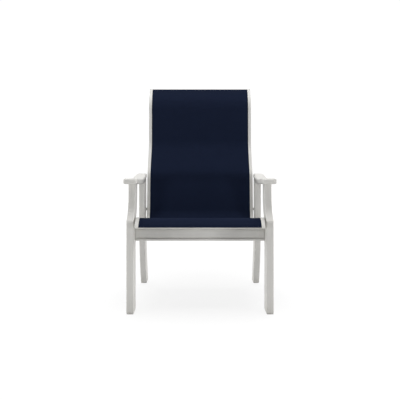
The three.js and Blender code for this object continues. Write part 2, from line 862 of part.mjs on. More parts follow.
// Local outline (along the line, up from it) turned and moved onto the line
function onLine(geometry, station, along, depth) {
  const spot = RailLine.place(station, along, depth);
  geometry.rotateX(Math.atan2(station.tangent.y, station.tangent.x));
  geometry.translate(0, spot.x, spot.y);
  return geometry;
}

// A bar between the rails: a flat tube with a screw port down its middle
function spreader({ station, along }) {
  const end = railInner - gap;
  const past = end + overrun;
  const windowReach = spreaderWidth / 2 - spreaderWall - spreaderBossRadius;
  const windowHeight = spreaderHeight - 2 * spreaderWall;
  const windowMiddle = spreaderBossRadius + windowReach / 2;
  const windowCorner = spreaderCorner - spreaderWall;
  const cutters = [rodX(spreaderScrewRadius + gap, -past, past, 0, 0, 12)];
  for (const side of [1, -1]) {
    const window = plate(roundedRectangle(windowReach, windowHeight, windowCorner), -past, past, 0, 1);
    window.translate(0, side * windowMiddle, 0);
    cutters.push(window);
  }
  const outline = roundedRectangle(spreaderWidth, spreaderHeight, spreaderCorner);
  const bar = cut(plate(outline, -end, end, 0, 3), cutters);
  return onLine(bar, station, along, chamberMiddle);
}

function spreaderScrew({ station, along }) {
  const spot = RailLine.place(station, along, chamberMiddle);
  const geometry = fastener(spreaderScrewHeadRadius, spreaderScrewHeadHeight, spreaderScrewRadius,
    spreaderScrewLength, true);
  geometry.rotateZ(-Math.PI / 2);
  geometry.translate(railOuter + gap, spot.x, spot.y);
  return geometry;
}

// The plug in the end of a rail: a flush plate, and a stub that follows the hollow chamber
function railCap(station, inward) {
  const face = roundedRectangle(capThickness, railDepth, railEdgeRadius / 2);
  const head = plate(face, railInner, railOuter, 0, 2);
  onLine(head, station, (inward * capThickness) / 2, railDepth / 2);
  const core = railLine.band(chamberDepth + gap, railDepth - railWall - gap, capThickness / 2);
  const filling = plate(core, railInner + railWall + gap, railOuter - railWall - gap);
  const reach = roundedRectangle(2 * (capThickness + capStubLength), railDepth, railEdgeRadius);
  const keep = onLine(plate(reach, railInner, railOuter), station, 0, railDepth / 2);
  return cut(join([head, common(filling, keep)]), [grooveMouth()]);
}

// The assembly
const chair = new THREE.Group();

function addPiece(name, finish, geometry) {
  const mesh = new THREE.Mesh(geometry, new THREE.MeshStandardMaterial(finishes[finish]));
  mesh.name = name;
  chair.add(mesh);
}

// One of each for the left side, and its mirror image for the right side
function addPair(name, finish, geometry) {
  addPiece(`${name}_left`, finish, geometry);
  addPiece(`${name}_right`, finish, mirrored(geometry));
}

addPair('front_leg', 'board', frontLeg());
addPair('rear_leg', 'board', rearLeg());
addPair('arm', 'board', arm());
addPiece('front_apron', 'board', frontApron());
addPiece('rear_stretcher', 'board', rearStretcher());
addPair('side_stretcher', 'board', sideStretcher());
addPair('sling_rail', 'rail', slingRail());
addPair('sling_spline', 'spline', slingSpline());
addPiece('sling_panel', 'sling', slingPanel());

for (const [place, bar] of Object.entries(spreaders)) {
  addPiece(`spreader_${place}`, 'rail', spreader(bar));
  addPair(`spreader_screw_${place}`, 'steel', spreaderScrew(bar));
}
addPair('rail_cap_front', 'plastic', railCap(railFoot, 1));
addPair('rail_cap_top', 'plastic', railCap(railHead, -1));
for (const [place, spot] of Object.entries(railBolts)) {
  addPair(`rail_bolt_${place}`, 'steel', railBolt(spot));
  addPair(`rail_spacer_${place}`, 'plastic', railSpacer(spot));
}
for (const [place, y] of Object.entries(armScrews)) {
  addPair(`arm_screw_${place}`, 'steel', armScrew(y));
  addPair(`arm_plug_${place}`, 'board', armPlug(y));
}
const apronBoltReach = legInner - gap - frameBoltReach;
for (const [place, z] of Object.entries(apronBolts)) {
  addPair(`apron_bolt_${place}`, 'steel', legBolt(frameBoltHeadRadius, frameBoltHeadHeight,
    frameBoltRadius, apronBoltReach, apronMiddle, z));
}
addPair('rear_stretcher_bolt', 'steel', legBolt(frameBoltHeadRadius, frameBoltHeadHeight,
  frameBoltRadius, apronBoltReach, rearStretcherCentre, rearStretcherMiddle));
for (const [place, y] of Object.entries(tenonScrews)) {
  addPair(`stretcher_screw_${place}`, 'steel', tenonScrew(y));
}
addPair('foot_glide_front', 'plastic', footGlide(0, frontFootDepth));
addPair('foot_glide_rear', 'plastic', footGlide(rearPostFront + rearFootKick, rearFootDepth));

// The origin goes to the floor under the middle of the chair
const box = new THREE.Box3().setFromObject(chair);
chair.position.y = -(box.min.y + box.max.y) / 2;

export default chair;
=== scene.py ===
# %% [markdown]
# # A sling patio chair
#
# This lesson dresses the CAD model of a high-backed patio chair. Two boards and a bent arm
# make each side, a recessed apron joins the front legs, and one piece of navy fabric is
# stretched between two curved rails. The chair stands still, so everything rides on one body.
#
# Lengths are metres, +Z is up, the front faces -Y, and left is the sitter's left, +X.

import math
from collections import namedtuple

import bmesh
import bpy
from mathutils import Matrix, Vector


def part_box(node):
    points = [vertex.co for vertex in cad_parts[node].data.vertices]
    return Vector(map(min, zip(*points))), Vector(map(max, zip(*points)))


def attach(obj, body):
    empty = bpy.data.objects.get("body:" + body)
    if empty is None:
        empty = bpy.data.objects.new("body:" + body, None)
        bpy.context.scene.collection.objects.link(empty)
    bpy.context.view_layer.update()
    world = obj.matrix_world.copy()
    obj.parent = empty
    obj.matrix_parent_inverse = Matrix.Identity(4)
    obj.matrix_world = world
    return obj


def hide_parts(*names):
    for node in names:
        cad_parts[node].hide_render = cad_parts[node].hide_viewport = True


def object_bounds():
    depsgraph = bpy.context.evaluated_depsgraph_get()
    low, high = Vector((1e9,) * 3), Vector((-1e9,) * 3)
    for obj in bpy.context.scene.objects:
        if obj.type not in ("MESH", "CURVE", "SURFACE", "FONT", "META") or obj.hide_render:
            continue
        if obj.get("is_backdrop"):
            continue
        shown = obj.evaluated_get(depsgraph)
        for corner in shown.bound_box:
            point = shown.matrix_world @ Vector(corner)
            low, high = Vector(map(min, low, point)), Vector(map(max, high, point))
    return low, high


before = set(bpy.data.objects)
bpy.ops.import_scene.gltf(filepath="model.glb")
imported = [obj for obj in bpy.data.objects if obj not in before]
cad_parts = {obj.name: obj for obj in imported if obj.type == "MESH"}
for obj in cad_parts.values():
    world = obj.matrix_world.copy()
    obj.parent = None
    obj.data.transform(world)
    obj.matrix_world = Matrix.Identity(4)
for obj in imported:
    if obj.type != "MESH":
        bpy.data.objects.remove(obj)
cad_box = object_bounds()
bpy.ops.object.select_all(action="DESELECT")
mm = 0.001
print("CAD nodes:", len(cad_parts))

# %% [markdown]
# ## Where the camera stands
#
# The photograph is level: every upright edge is parallel to its sides. A camera that looks
# along +Y without tilting does that, and a small vertical shift puts the chair in the frame.
# The distance comes from how much smaller the rear feet look than the front ones.

# %% The camera
feet_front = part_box("front_leg_left")[0].y
camera_distance = 2.450      # in front of the front feet
camera_height = 0.7326

camera_data = bpy.data.cameras.new("camera")
camera_data.lens = 47.42     # on a 36 mm sensor
camera_data.shift_y = -0.1075
camera = bpy.data.objects.new("camera", camera_data)
camera.location = (0, feet_front - camera_distance, camera_height)
camera.rotation_euler = (math.radians(90), 0, 0)
bpy.context.scene.collection.objects.link(camera)
bpy.context.scene.camera = camera
print("camera at", [round(v, 3) for v in camera.location])

# %% [markdown]
# ## Wiring materials in Python
#
# A material is a graph of nodes, and most of its nodes only add or multiply. `Signal` wraps
# one socket and overloads the operators, so that an expression builds those nodes. Any other
# node comes from the `node` method of a `Graph`: its settings come first, because they decide
# which sockets the node has. `Finish` is the graph of one material.

# %% Signal: a number that changes over a surface
class Signal:
    def __init__(self, graph, socket):
        self.graph = graph
        self.socket = socket

    def math(self, operation, *others, swap=False):
        terms = (*others, self) if swap else (self, *others)
        return self.graph.node("Math", {"operation": operation}, dict(enumerate(terms)))

    def __add__(self, other):
        return self.math("ADD", other)

    def __sub__(self, other):
        return self.math("SUBTRACT", other)

    def __mul__(self, other):
        return self.math("MULTIPLY", other)

    def __truediv__(self, other):
        return self.math("DIVIDE", other)

    def __rsub__(self, other):
        return self.math("SUBTRACT", other, swap=True)

    def __rtruediv__(self, other):
        return self.math("DIVIDE", other, swap=True)

    __radd__ = __add__
    __rmul__ = __mul__

# %% Graph: the nodes of the world or of one material
class Graph:
    def __init__(self, tree):
        self.tree = tree

    def fill(self, socket, value):
        """Link a signal to a socket, or set the socket to a plain value"""
        if isinstance(value, Signal):
            self.tree.links.new(value.socket, socket)
        else:
            socket.default_value = value

    def node(self, kind, settings=None, inputs=None, output=0):
        node = self.tree.nodes.new("ShaderNode" + kind)
        for name, value in (settings or {}).items():
            setattr(node, name, value)
        for name, value in (inputs or {}).items():
            self.fill(node.inputs[name], value)
        return Signal(self, node.outputs[output])

# %% Finish: one material
class Finish(Graph):
    def __init__(self, name):
        self.material = bpy.data.materials.new(name)
        self.material.use_nodes = True
        super().__init__(self.material.node_tree)
        self.shader = self.tree.nodes["Principled BSDF"]

    def place(self, scale=1.0):
        """Object coordinates, stretched by one scale or by one for each axis"""
        scales = scale if isinstance(scale, tuple) else (scale, scale, scale)
        spot = self.node("TexCoord", output="Object")
        return self.node("Mapping", inputs={"Vector": spot, "Scale": scales})

    def noise(self, scale, detail=2.0):
        inputs = {"Vector": self.place(scale), "Scale": 1.0, "Detail": detail}
        return self.node("TexNoise", inputs=inputs, output="Fac")

    def steps(self, value, low, high):
        """0 below low, 1 above high, and smooth between them"""
        inputs = {"Value": value, "From Min": low, "From Max": high}
        return self.node("MapRange", {"interpolation_type": "SMOOTHSTEP"}, inputs, "Result")

    def blend(self, share, first, second):
        """A colour between two others"""
        return self.node("Mix", {"data_type": "RGBA"}, {0: share, 6: first, 7: second}, 2)

    def bump(self, height, distance, strength):
        inputs = {"Height": height, "Distance": distance, "Strength": strength}
        return self.node("Bump", inputs=inputs)

    def feed(self, **sockets):
        """Link or set the shader's own sockets: Base_Color, Roughness and so on"""
        for name, value in sockets.items():
            self.fill(self.shader.inputs[name.replace("_", " ")], value)


def colour(red, green, blue):
    """A screen colour of 0 to 255 as the linear colour that a socket wants"""
    linear = []
    for part in (red / 255, green / 255, blue / 255):
        linear.append(part / 12.92 if part <= 0.04045 else ((part + 0.055) / 1.055) ** 2.4)
    return (*linear, 1.0)

# %% [markdown]
# ## Floor, backdrop and lights
#
# The chair was photographed in a white studio. The floor shows white to the camera and to
# mirror-like surfaces, but a share of it stays a plain diffuse white, so that it keeps the
# chair's soft shadow and throws light back up under the seat. That share fades out with the
# distance from the chair. The world is white to the camera too, and lights the chair faintly.

# %% The floor
shadow_share = 0.25          # share of the floor's look that is real light and shadow
floor_glow = 0.84
clear_from = 0.9             # distances over which the floor turns into plain white backdrop
clear_to = 2.4


def seen_directly(graph):
    """1 for rays from the camera and for mirror and glass rays, 0 for the light that bounces"""
    kinds = ("Camera", "Glossy", "Transmission")
    rays = [graph.node("LightPath", output="Is " + kind + " Ray") for kind in kinds]
    return rays[0].math("MAXIMUM", rays[1]).math("MAXIMUM", rays[2])


def choose_shader(graph, share, lighting, shown, output):
    """Mix the shader that lights the chair and the one that is shown, and put them out"""
    lit = Signal(graph, lighting.outputs[0])
    mixed = graph.node("MixShader", inputs={0: share, 1: lit, 2: shown})
    graph.fill(graph.tree.nodes[output].inputs["Surface"], mixed)


bpy.ops.mesh.primitive_plane_add(size=40, location=(0, 0, 0))
floor = bpy.context.object
floor.name = "studio_floor"
ground = Finish("studio floor")
ground.feed(Base_Color=(0.8, 0.8, 0.8, 1), Roughness=1.0, Specular_IOR_Level=0.0)
glow = ground.node("Emission", inputs={"Strength": floor_glow / (1 - shadow_share)})
away = ground.node("VectorMath", {"operation": "LENGTH"}, {0: ground.place()}, "Value")
cleared = ground.steps(away, clear_from, clear_to)
share = seen_directly(ground) * (1 - shadow_share + cleared * shadow_share)
choose_shader(ground, share, ground.shader, glow, "Material Output")
floor.data.materials.append(ground.material)
floor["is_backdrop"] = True
print("floor laid at z = 0")

# %% The world
world_light = 0.25
backdrop_white = 1.03        # just over white, so that the backdrop comes out flat
white = (1, 1, 1, 1)

world = bpy.data.worlds.new("studio")
world.use_nodes = True
bpy.context.scene.world = world
sky = Graph(world.node_tree)
dim = sky.tree.nodes["Background"]
dim.inputs["Color"].default_value = white
dim.inputs["Strength"].default_value = world_light
bright = sky.node("Background", inputs={"Color": white, "Strength": backdrop_white})
choose_shader(sky, seen_directly(sky), dim, bright, "World Output")
print("world light", world_light)

# %% The lamps
side_box_power = {"front": 105, "rear": 76}   # low lamps at both sides of the chair
side_box_place = Vector((5.5, 2.2, 0.42))


def soft_lamp(name, place, target, size, power):
    """A square soft box that looks at a point"""
    data = bpy.data.lights.new(name, "AREA")
    data.size = size
    data.energy = power
    lamp = bpy.data.objects.new(name, data)
    lamp.location = place
    lamp.rotation_euler = (Vector(target) - Vector(place)).to_track_quat("-Z", "Y").to_euler()
    bpy.context.scene.collection.objects.link(lamp)


soft_lamp("overhead box", place=(0, 0.1, 4.6), target=(0, 0.1, 0), size=4.2, power=185)
for side in (1, -1):
    for end, way in (("front", -1), ("rear", 1)):
        soft_lamp(end + " side box", side_box_place * Vector((side, way, 1)), (0, 0, 0.3),
                  size=0.8, power=side_box_power[end])
bpy.context.scene.view_settings.view_transform = "Standard"
print("soft boxes:", len(bpy.data.lights))

# %% [markdown]
# ## The boards' finish
#
# Legs, arms and cross pieces are boards of solid grey outdoor polymer. Close up, such a board
# has a satin face with a fine drawn grain along its length, clouds of slightly warmer and
# cooler grey, and edges that hands and cloths have rubbed a little smoother and lighter. The
# grain is a noise stretched along the board, so there is one finish for each way a board can
# run. A noise's scale counts its patches in a metre, so 520 makes grain lines about 2 mm apart.
# The rubbed edges are an attribute named `edge`, which each board writes on its mesh.

# %% Board finishes
board_warm = colour(222, 220, 215)
board_cool = colour(209, 208, 205)
board_grain = colour(194, 192, 188)
board_rubbed = colour(227, 226, 222)
board_soiled = colour(192, 189, 182)
grain_scale = (9.0, 520.0)   # of the noise, along and across the board
band_scale = (3.0, 60.0)
soil_low = 0.004             # heights between which the soiled foot turns clean
soil_high = 0.07


def board_finish(along):
    """The polymer board with its grain along one axis: 0, 1 or 2 for X, Y or Z"""
    finish = Finish("board grain along " + "xyz"[along])
    fine, broad = (tuple(lengthwise if axis == along else crosswise for axis in range(3))
                   for lengthwise, crosswise in (grain_scale, band_scale))
    grain = finish.noise(fine, 3.0)
    bands = finish.noise(broad)
    clouds = finish.noise(9.0, 3.0)
    pores = finish.noise(1500.0)
    edge = finish.node("Attribute", {"attribute_name": "edge"}, output="Fac")
    height = finish.node("SeparateXYZ", inputs={"Vector": finish.place()}, output="Z")
    low = 1 - finish.steps(height, soil_low, soil_high)
    tint = finish.blend(clouds * 0.6 + bands * 0.4, board_cool, board_warm)
    tint = finish.blend(finish.steps(grain, 0.56, 0.74) * 0.6, tint, board_grain)
    tint = finish.blend(edge * finish.steps(clouds, 0.35, 0.7) * 0.7, tint, board_rubbed)
    tint = finish.blend(low * finish.steps(bands, 0.3, 0.75) * 0.4, tint, board_soiled)
    finish.feed(
        Base_Color=tint,
        Roughness=0.44 + grain * 0.16 - edge * 0.08 + low * 0.1,
        Normal=finish.bump(grain * 0.7 + pores * 0.3, 0.0002, 0.7),
        IOR=1.48,
    )
    return finish.material


board_across, board_lengthwise, board_upright = (board_finish(along) for along in range(3))
print("boards:", board_across.name + ",", board_lengthwise.name, "and", board_upright.name)

# %% [markdown]
# ## Painted rails, plastic, steel and spline
#
# The sling rails and the bars between them are aluminium under a powder coat. A powder coat
# melts into a skin with a faint orange-peel ripple and a few dust nibs. Caps, spacers and
# glides are moulded plastic with a matt spark-eroded face, and the bolts are stainless steel,
# turned on a lathe, with soft scratches.

# %% Powder coat
coat = Finish("powder coat")
peel = coat.noise(420.0, 1.5)
nibs = coat.steps(coat.noise(900.0, 0.0), 0.72, 0.8)
tint = coat.blend(coat.noise(7.0), colour(206, 205, 201), colour(214, 213, 209))
coat.feed(
    Base_Color=coat.blend(nibs * 0.25, tint, colour(190, 188, 183)),
    Roughness=0.36 + peel * 0.1,
    Normal=coat.bump(peel + nibs * 0.4, 0.00012, 0.5),
    IOR=1.5,
)
print("finish:", coat.material.name)

# %% Moulded plastic
def moulded_plastic(name, light, dark, roughness):
    finish = Finish(name)
    sparks = finish.noise(1300.0)
    mottle = finish.noise(55.0) * 0.7 + sparks * 0.3
    finish.feed(
        Base_Color=finish.blend(mottle, colour(*dark), colour(*light)),
        Roughness=roughness + sparks * 0.16,
        Normal=finish.bump(sparks, 0.0001, 0.5),
        IOR=1.48,
    )
    print("finish:", name)
    return finish.material


pale_plastic = moulded_plastic("pale moulded plastic", (214, 213, 209), (203, 201, 196), 0.44)
# the spacers' plastic is a lighter copy of the moulded plastic, painted lighter to offset the
# shade between rail and leg where they sit
spacer_plastic_painted_lighter = moulded_plastic("matt moulded plastic", (222, 221, 217), (210, 209, 205), 0.5)
spline_plastic = moulded_plastic("black spline plastic", (46, 46, 49), (36, 36, 38), 0.55)

# %% Stainless steel
steel = Finish("stainless steel")
turning_scale = (2600.0, 240.0, 240.0)   # fine along the bolts, so that the marks run round them
scratches = steel.noise(turning_scale, 3.0)
stains = steel.noise(160.0)
steel.feed(
    Base_Color=steel.blend(stains, colour(188, 188, 186), colour(206, 206, 204)),
    Metallic=1.0,
    Roughness=0.24 + scratches * 0.16 + stains * 0.06,
    Normal=steel.bump(scratches, 0.00005, 0.4),
)
print("finish:", steel.material.name)

# %% [markdown]
# ## The sling's weave
#
# Sling fabric is woven from polyester yarn in a vinyl skin, about one yarn a millimetre. The
# weave is worked out from the sheet's own UV map, which is in metres across and along the
# fabric, so it follows every bend. In each square of the map one yarn passes over the other,
# turn by turn. The higher of the two heights is the surface, and the places where both are
# low are the small pits between the yarns, which are painted near-black as shade.

# %% Woven sling
yarn_pitch = 1.25 * mm
yarn_crown = 2.2             # how fast a yarn falls away from its middle line
yarn_rise = 0.42             # how far it climbs over the other yarns and dips under them
navy_warp = colour(28, 36, 56)
navy_weft = colour(18, 24, 42)
navy_cloud = colour(30, 38, 58)
# painted shade: the near-black that the pits between the yarns are coloured
painted_pit_shade = colour(4, 6, 12)

weave = Finish("woven navy sling")
cloth_spot = weave.node("UVMap", {"uv_map": "cloth"})
across, along = (weave.node("SeparateXYZ", inputs={"Vector": cloth_spot}, output=axis) / yarn_pitch
                 for axis in "XY")
column = across.math("FLOOR")
row = along.math("FLOOR")
off_column = across - column - 0.5
off_row = along - row - 0.5
over = ((column + row) * 0.5).math("FRACT") * 4 - 1    # 1 where the warp is on top, else -1
warp = (0.55 - off_column * off_column * yarn_crown
        + over * yarn_rise * (0.5 - off_row * off_row * 2))
weft = (0.5 - off_row * off_row * yarn_crown
        - over * yarn_rise * (0.5 - off_column * off_column * 2))
surface = warp.math("MAXIMUM", weft)
on_top = weave.steps(warp - weft, -0.04, 0.04)
pits = 1 - weave.steps(surface, 0.12, 0.34)
each = weave.node("CombineXYZ", inputs={"X": column * on_top, "Y": row * (1 - on_top)})
dye = weave.node("TexWhiteNoise", {"noise_dimensions": "3D"}, {"Vector": each}, "Value")
tint = weave.blend(on_top * 0.75 + dye * 0.25, navy_weft, navy_warp)
tint = weave.blend(weave.noise(6.0, 3.0) * 0.25, tint, navy_cloud)
weave.feed(
    # the pits between the yarns are painted near-black as shade; their higher roughness is real
    Base_Color=weave.blend(pits * 0.8, tint, painted_pit_shade),
    Roughness=0.78 + pits * 0.15 + dye * 0.06,
    Normal=weave.bump(surface, 0.0003, 0.6),
    Specular_IOR_Level=0.02,
)
print("yarns every", yarn_pitch / mm, "mm")

# %% Sewing thread
thread = Finish("navy sewing thread")
lie = {"Vector": thread.place(900.0), "Scale": 1.0}
twist = thread.node("TexWave", {"bands_direction": "DIAGONAL"}, lie, "Fac")
fuzz = thread.noise(1200.0)
thread.feed(
    Base_Color=thread.blend(twist * 0.6 + fuzz * 0.4, colour(15, 19, 33), colour(36, 45, 70)),
    Roughness=0.5 + fuzz * 0.2,
    Normal=thread.bump(twist, 0.0001, 0.5),
    Specular_IOR_Level=0.2,
)
print("finish:", thread.material.name)

# %% [markdown]
# ## Modelling tools
#
# Every piece starts as a primitive and is shaped in edit mode. Most pieces here are a section
# carried along a line, as a board follows its template or an extrusion its bend, so the main
# helper extrudes the selected end from stop to stop, turning and resizing it on the way.
# With no window, Blender's rotate operator turns the other way and needs its centre given, so
# one helper looks after that.

# %% Selecting
near = 0.1 * mm              # how close counts as being there


def stop_editing():
    if bpy.context.mode != "OBJECT":
        bpy.ops.object.mode_set(mode="OBJECT")


def deselect():
    stop_editing()
    bpy.ops.object.select_all(action="DESELECT")


def take(piece, edit=False):
    """Select this piece alone, and open it with all of its mesh selected if it is to be edited"""
    deselect()
    piece.select_set(True)
    bpy.context.view_layer.objects.active = piece
    if edit:
        bpy.ops.object.mode_set(mode="EDIT")
        select_all()


def select_all():
    bpy.ops.mesh.select_all(action="SELECT")


def select_where(kind, test):
    """In edit mode, select the VERT, EDGE or FACE items whose middle passes a test"""
    bpy.ops.mesh.select_mode(type=kind)
    bpy.ops.mesh.select_all(action="DESELECT")
    mesh = bmesh.from_edit_mesh(bpy.context.edit_object.data)
    for item in {"VERT": mesh.verts, "EDGE": mesh.edges, "FACE": mesh.faces}[kind]:
        corners = [item] if kind == "VERT" else item.verts
        if test(sum((corner.co for corner in corners), Vector()) / len(corners)):
            item.select_set(True)
    mesh.select_flush_mode()
    bmesh.update_edit_mesh(bpy.context.edit_object.data)

# %% Starting a piece
quarter = math.radians(90)
turn_to_face = ((0, quarter, 0), (quarter, 0, 0), (0, 0, 0))   # along X, Y or Z


def start(name, size=(1, 1, 1), edit=True):
    """Name and size the new primitive, bring its place into its mesh and go into edit mode"""
    piece = bpy.context.object
    piece.name = name
    piece.data.name = name
    piece.scale = size
    bpy.ops.object.transform_apply(location=True, rotation=True, scale=True)
    if edit:
        bpy.ops.object.mode_set(mode="EDIT")
    return piece


def new_section(name, centre, size, facing):
    """A rectangle that faces along X, Y or Z (0, 1 or 2), with its two sizes in axis order"""
    deselect()
    bpy.ops.mesh.primitive_plane_add(size=1, location=centre, rotation=turn_to_face[facing])
    first, second = size
    return start(name, (second, first, 1) if facing == 0 else (first, second, 1))


def new_block(name, low, high, edit=False):
    """A box between two corners"""
    deselect()
    bpy.ops.mesh.primitive_cube_add(size=1, location=(Vector(low) + Vector(high)) / 2)
    return start(name, Vector(high) - Vector(low), edit)


def new_rod(name, centre, radius, length, axis, sides=48, edit=True):
    """A round bar along X, Y or Z"""
    deselect()
    bpy.ops.mesh.primitive_cylinder_add(vertices=sides, radius=radius, depth=length,
                                        location=centre, rotation=turn_to_face[axis])
    return start(name, edit=edit)

# %% Carrying an end along a line
Stop = namedtuple("Stop", "place turn size")


def move(step):
    bpy.ops.transform.translate(value=step)


def extrude(step):
    bpy.ops.mesh.extrude_region_move(TRANSFORM_OT_translate={"value": step})


def resize(factors, centre):
    bpy.ops.transform.resize(value=factors, center_override=centre)


def turn_about(centre, angle):
    """Turn the selection about an axis along X, from +Y towards +Z"""
    bpy.ops.transform.rotate(value=-angle, orient_axis="X", orient_type="GLOBAL",
                             center_override=centre)


def carry(stops):
    """Extrude the selected end from the first stop through all the others"""
    for here, there in zip(stops, stops[1:]):
        extrude(there.place - here.place)
        if there.turn != here.turn:
            turn_about(there.place, there.turn - here.turn)
        if there.size != here.size:
            grow = there.size / here.size
            resize((1, grow, grow), there.place)


def cut_section(place, normal):
    """Divide the section that is being edited along a plane"""
    select_all()
    bpy.ops.mesh.bisect(plane_co=place, plane_no=normal)


def delete_where(test):
    """Delete the faces of a section whose middle passes a test"""
    select_where("FACE", test)
    bpy.ops.mesh.delete(type="FACE")

# %% Rounding and cutting
def add_modifier(piece, kind, **settings):
    """Give a piece a modifier, and apply it"""
    take(piece)
    bpy.ops.object.modifier_add(type=kind)
    modifier = piece.modifiers[-1]
    for name, value in settings.items():
        setattr(modifier, name, value)
    bpy.ops.object.modifier_apply(modifier=modifier.name)


def face_outwards(piece):
    take(piece, edit=True)
    bpy.ops.mesh.remove_doubles(threshold=1e-6)
    bpy.ops.mesh.normals_make_consistent(inside=False)
    stop_editing()


def ease_edges(piece, radius, segments=5, above=60):
    """Round the edges that turn by more than an angle"""
    face_outwards(piece)
    add_modifier(piece, "BEVEL", width=radius, segments=segments, limit_method="ANGLE",
                 angle_limit=math.radians(above), use_clamp_overlap=False,
                 miter_outer="MITER_ARC")


def carve(piece, cutter, operation="DIFFERENCE"):
    """Cut one shape out of a piece, or join the two, and remove the cutter"""
    add_modifier(piece, "BOOLEAN", operation=operation, object=cutter, solver="EXACT")
    bpy.data.objects.remove(cutter)


def drill(piece, centre, radius, length, axis=0):
    carve(piece, new_rod("drill", centre, radius, length, axis, 32, edit=False))

# %% Copying and dressing
def mark_edges(piece, axis):
    """Write where a board's rounded edges are: 0 on its flats and 1 in mid-round"""
    marks = piece.data.attributes.new("edge", "FLOAT", "POINT")
    for vertex in piece.data.vertices:
        flat = vertex.normal[axis] ** 2
        marks.data[vertex.index].value = 4 * flat * (1 - flat)


def copy_of(piece, name, shift=(0, 0, 0), mirrored=False):
    """A copy with its own mesh, moved, and then mirrored in the chair's middle plane"""
    take(piece)
    bpy.ops.object.duplicate(linked=False)
    twin = bpy.context.object
    twin.name = name
    twin.data.name = name
    take(twin, edit=True)
    move(shift)
    if mirrored:
        resize((-1, 1, 1), (0, 0, 0))
        bpy.ops.mesh.flip_normals()
    stop_editing()
    return twin


def dress(piece, material, slot, *nodes, smooth=22):
    """Give a finished shape its shading, material and body; its slot argument is not used"""
    take(piece)
    bpy.ops.object.shade_smooth_by_angle(angle=math.radians(smooth))
    add_modifier(piece, "WEIGHTED_NORMAL", keep_sharp=True, weight=50)
    piece.data.materials.clear()
    piece.data.materials.append(material)
    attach(piece, "root")
    if nodes:
        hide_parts(*nodes)


def dress_pair(piece, node, material, slot, smooth=22):
    """Dress a left-hand piece and its mirror image, each in place of its own CAD node"""
    twin = copy_of(piece, piece.name.replace("left", "right"), mirrored=True)
    dress(piece, material, slot, node + "_left", smooth=smooth)
    dress(twin, material, slot, node + "_right", smooth=smooth)
    print(node, "pair:", len(piece.data.polygons), "faces each")

# %% [markdown]
# ## Sizes that the boards share
#
# The chair's drawing starts at the front face of the front feet, so a place along the chair
# is written as millimetres behind that face. `back` turns it into the scene's own Y. Pieces
# that lie against each other keep a fine gap, as the CAD has it.

# %% Shared sizes
leg_low, leg_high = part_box("front_leg_left")
leg_middle = (leg_low.x + leg_high.x) / 2
leg_thickness = leg_high.x - leg_low.x
leg_bottom = leg_low.z
board_edge = 4 * mm
gap = 0.3                    # in millimetres, as the places below


def back(millimetres):
    return feet_front + millimetres * mm


def spot(y, z, x=0.0):
    """A point from its place behind the front feet and its height, both in millimetres"""
    return Vector((x, back(y), z * mm))


def centre_of(node, x=None):
    """The middle of a CAD node, moved to an x of its own if one is given"""
    low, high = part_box(node)
    return Vector(((low.x + high.x) / 2 if x is None else x,
                   (low.y + high.y) / 2, (low.z + high.z) / 2))


def rung(front, rear):
    """The stop that spans a board from its front edge to its rear edge"""
    across = Vector(rear) - Vector(front)
    middle = (Vector(front) + Vector(rear)) / 2
    return Stop(spot(*middle, leg_middle), math.atan2(across.y, across.x), across.length)


print("boards are", round(leg_thickness / mm, 1), "mm thick")

# %% [markdown]
# ## The arm's line
#
# Each arm is a board milled to a shallow wave: level at the nose, a dip over the seat, and a
# level run at the rear. Both posts end under it, so its line comes first. An eased step is
# half a cosine wave, the shape that a springy batten takes between two clamps.

# %% The line of the arm
arm_thickness = 27.0
arm_nose_top = 632.0
arm_front = 5.0
arm_rear = 601.3
arm_dip = 12.0
arm_rise = 17.5
arm_dip_place = 290.6
arm_rear_level = 78.0


def ease(place, start_place, end_place):
    share = min(1.0, max(0.0, (place - start_place) / (end_place - start_place)))
    return (1 - math.cos(math.pi * share)) / 2


def arm_top(place):
    down = arm_dip * ease(place, arm_front + arm_thickness / 2, arm_dip_place)
    up = arm_rise * ease(place, arm_dip_place, arm_rear - arm_rear_level)
    return arm_nose_top - down + up


def post_top(place):
    return place, arm_top(place) - arm_thickness - gap


print("arm top from", arm_nose_top, "to", round(arm_top(arm_rear), 1), "mm")

# %% [markdown]
# ## Bores and mortises
#
# The boards are bolted together, and a tenoned rail runs between the two legs of a side. The
# holes are cut where the CAD has its bolts: a fastener's own node says where it passes.

# %% Cutting the joints
hole_gap = 0.3 * mm
rail_shank = 4 * mm          # radii of what passes through the boards
frame_shank = 3 * mm
tenon_shank = 2.5 * mm
arm_shank = 3 * mm
glide_stem = 4 * mm
tenon_thickness = 12 * mm
tenon_height = 22 * mm
tenon_middle = centre_of("stretcher_screw_front_left").z
tenon_front, tenon_rear = (corner.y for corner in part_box("side_stretcher_left"))


def bore(piece, node, radius):
    """Bore across a board for a fastener along X"""
    drill(piece, centre_of(node, leg_middle), radius + hole_gap, 3 * leg_thickness)


def bore_upright(piece, node, radius):
    """Bore upright for a screw or a glide's stem, all the way along it"""
    low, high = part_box(node)
    length = high.z - low.z + 2 * hole_gap
    drill(piece, centre_of(node, leg_middle), radius + hole_gap, length, axis=2)


def tenon_bar(name, spare=0.0):
    """The bar that gives a side stretcher both its tenons, or a roomier one for the mortises"""
    half = Vector((tenon_thickness / 2 + spare, spare, tenon_height / 2 + spare))
    return new_block(name, Vector((leg_middle, tenon_front, tenon_middle)) - half,
                     Vector((leg_middle, tenon_rear, tenon_middle)) + half)


print("tenons at z =", round(tenon_middle / mm, 1), "mm")

# %% [markdown]
# ## Front legs
#
# The front leg is one board with a kink: the foot stands plumb, and above the seat the board
# sweeps back to an upright post. It could be a traced outline with one huge face on each side,
# but such a face shades badly once holes are cut in it. Here the foot's section is carried
# upwards rung by rung. Each rung spans the board from its front edge to its rear edge, so both
# sides become clean strips, and the kink on the front edge stays crisp.

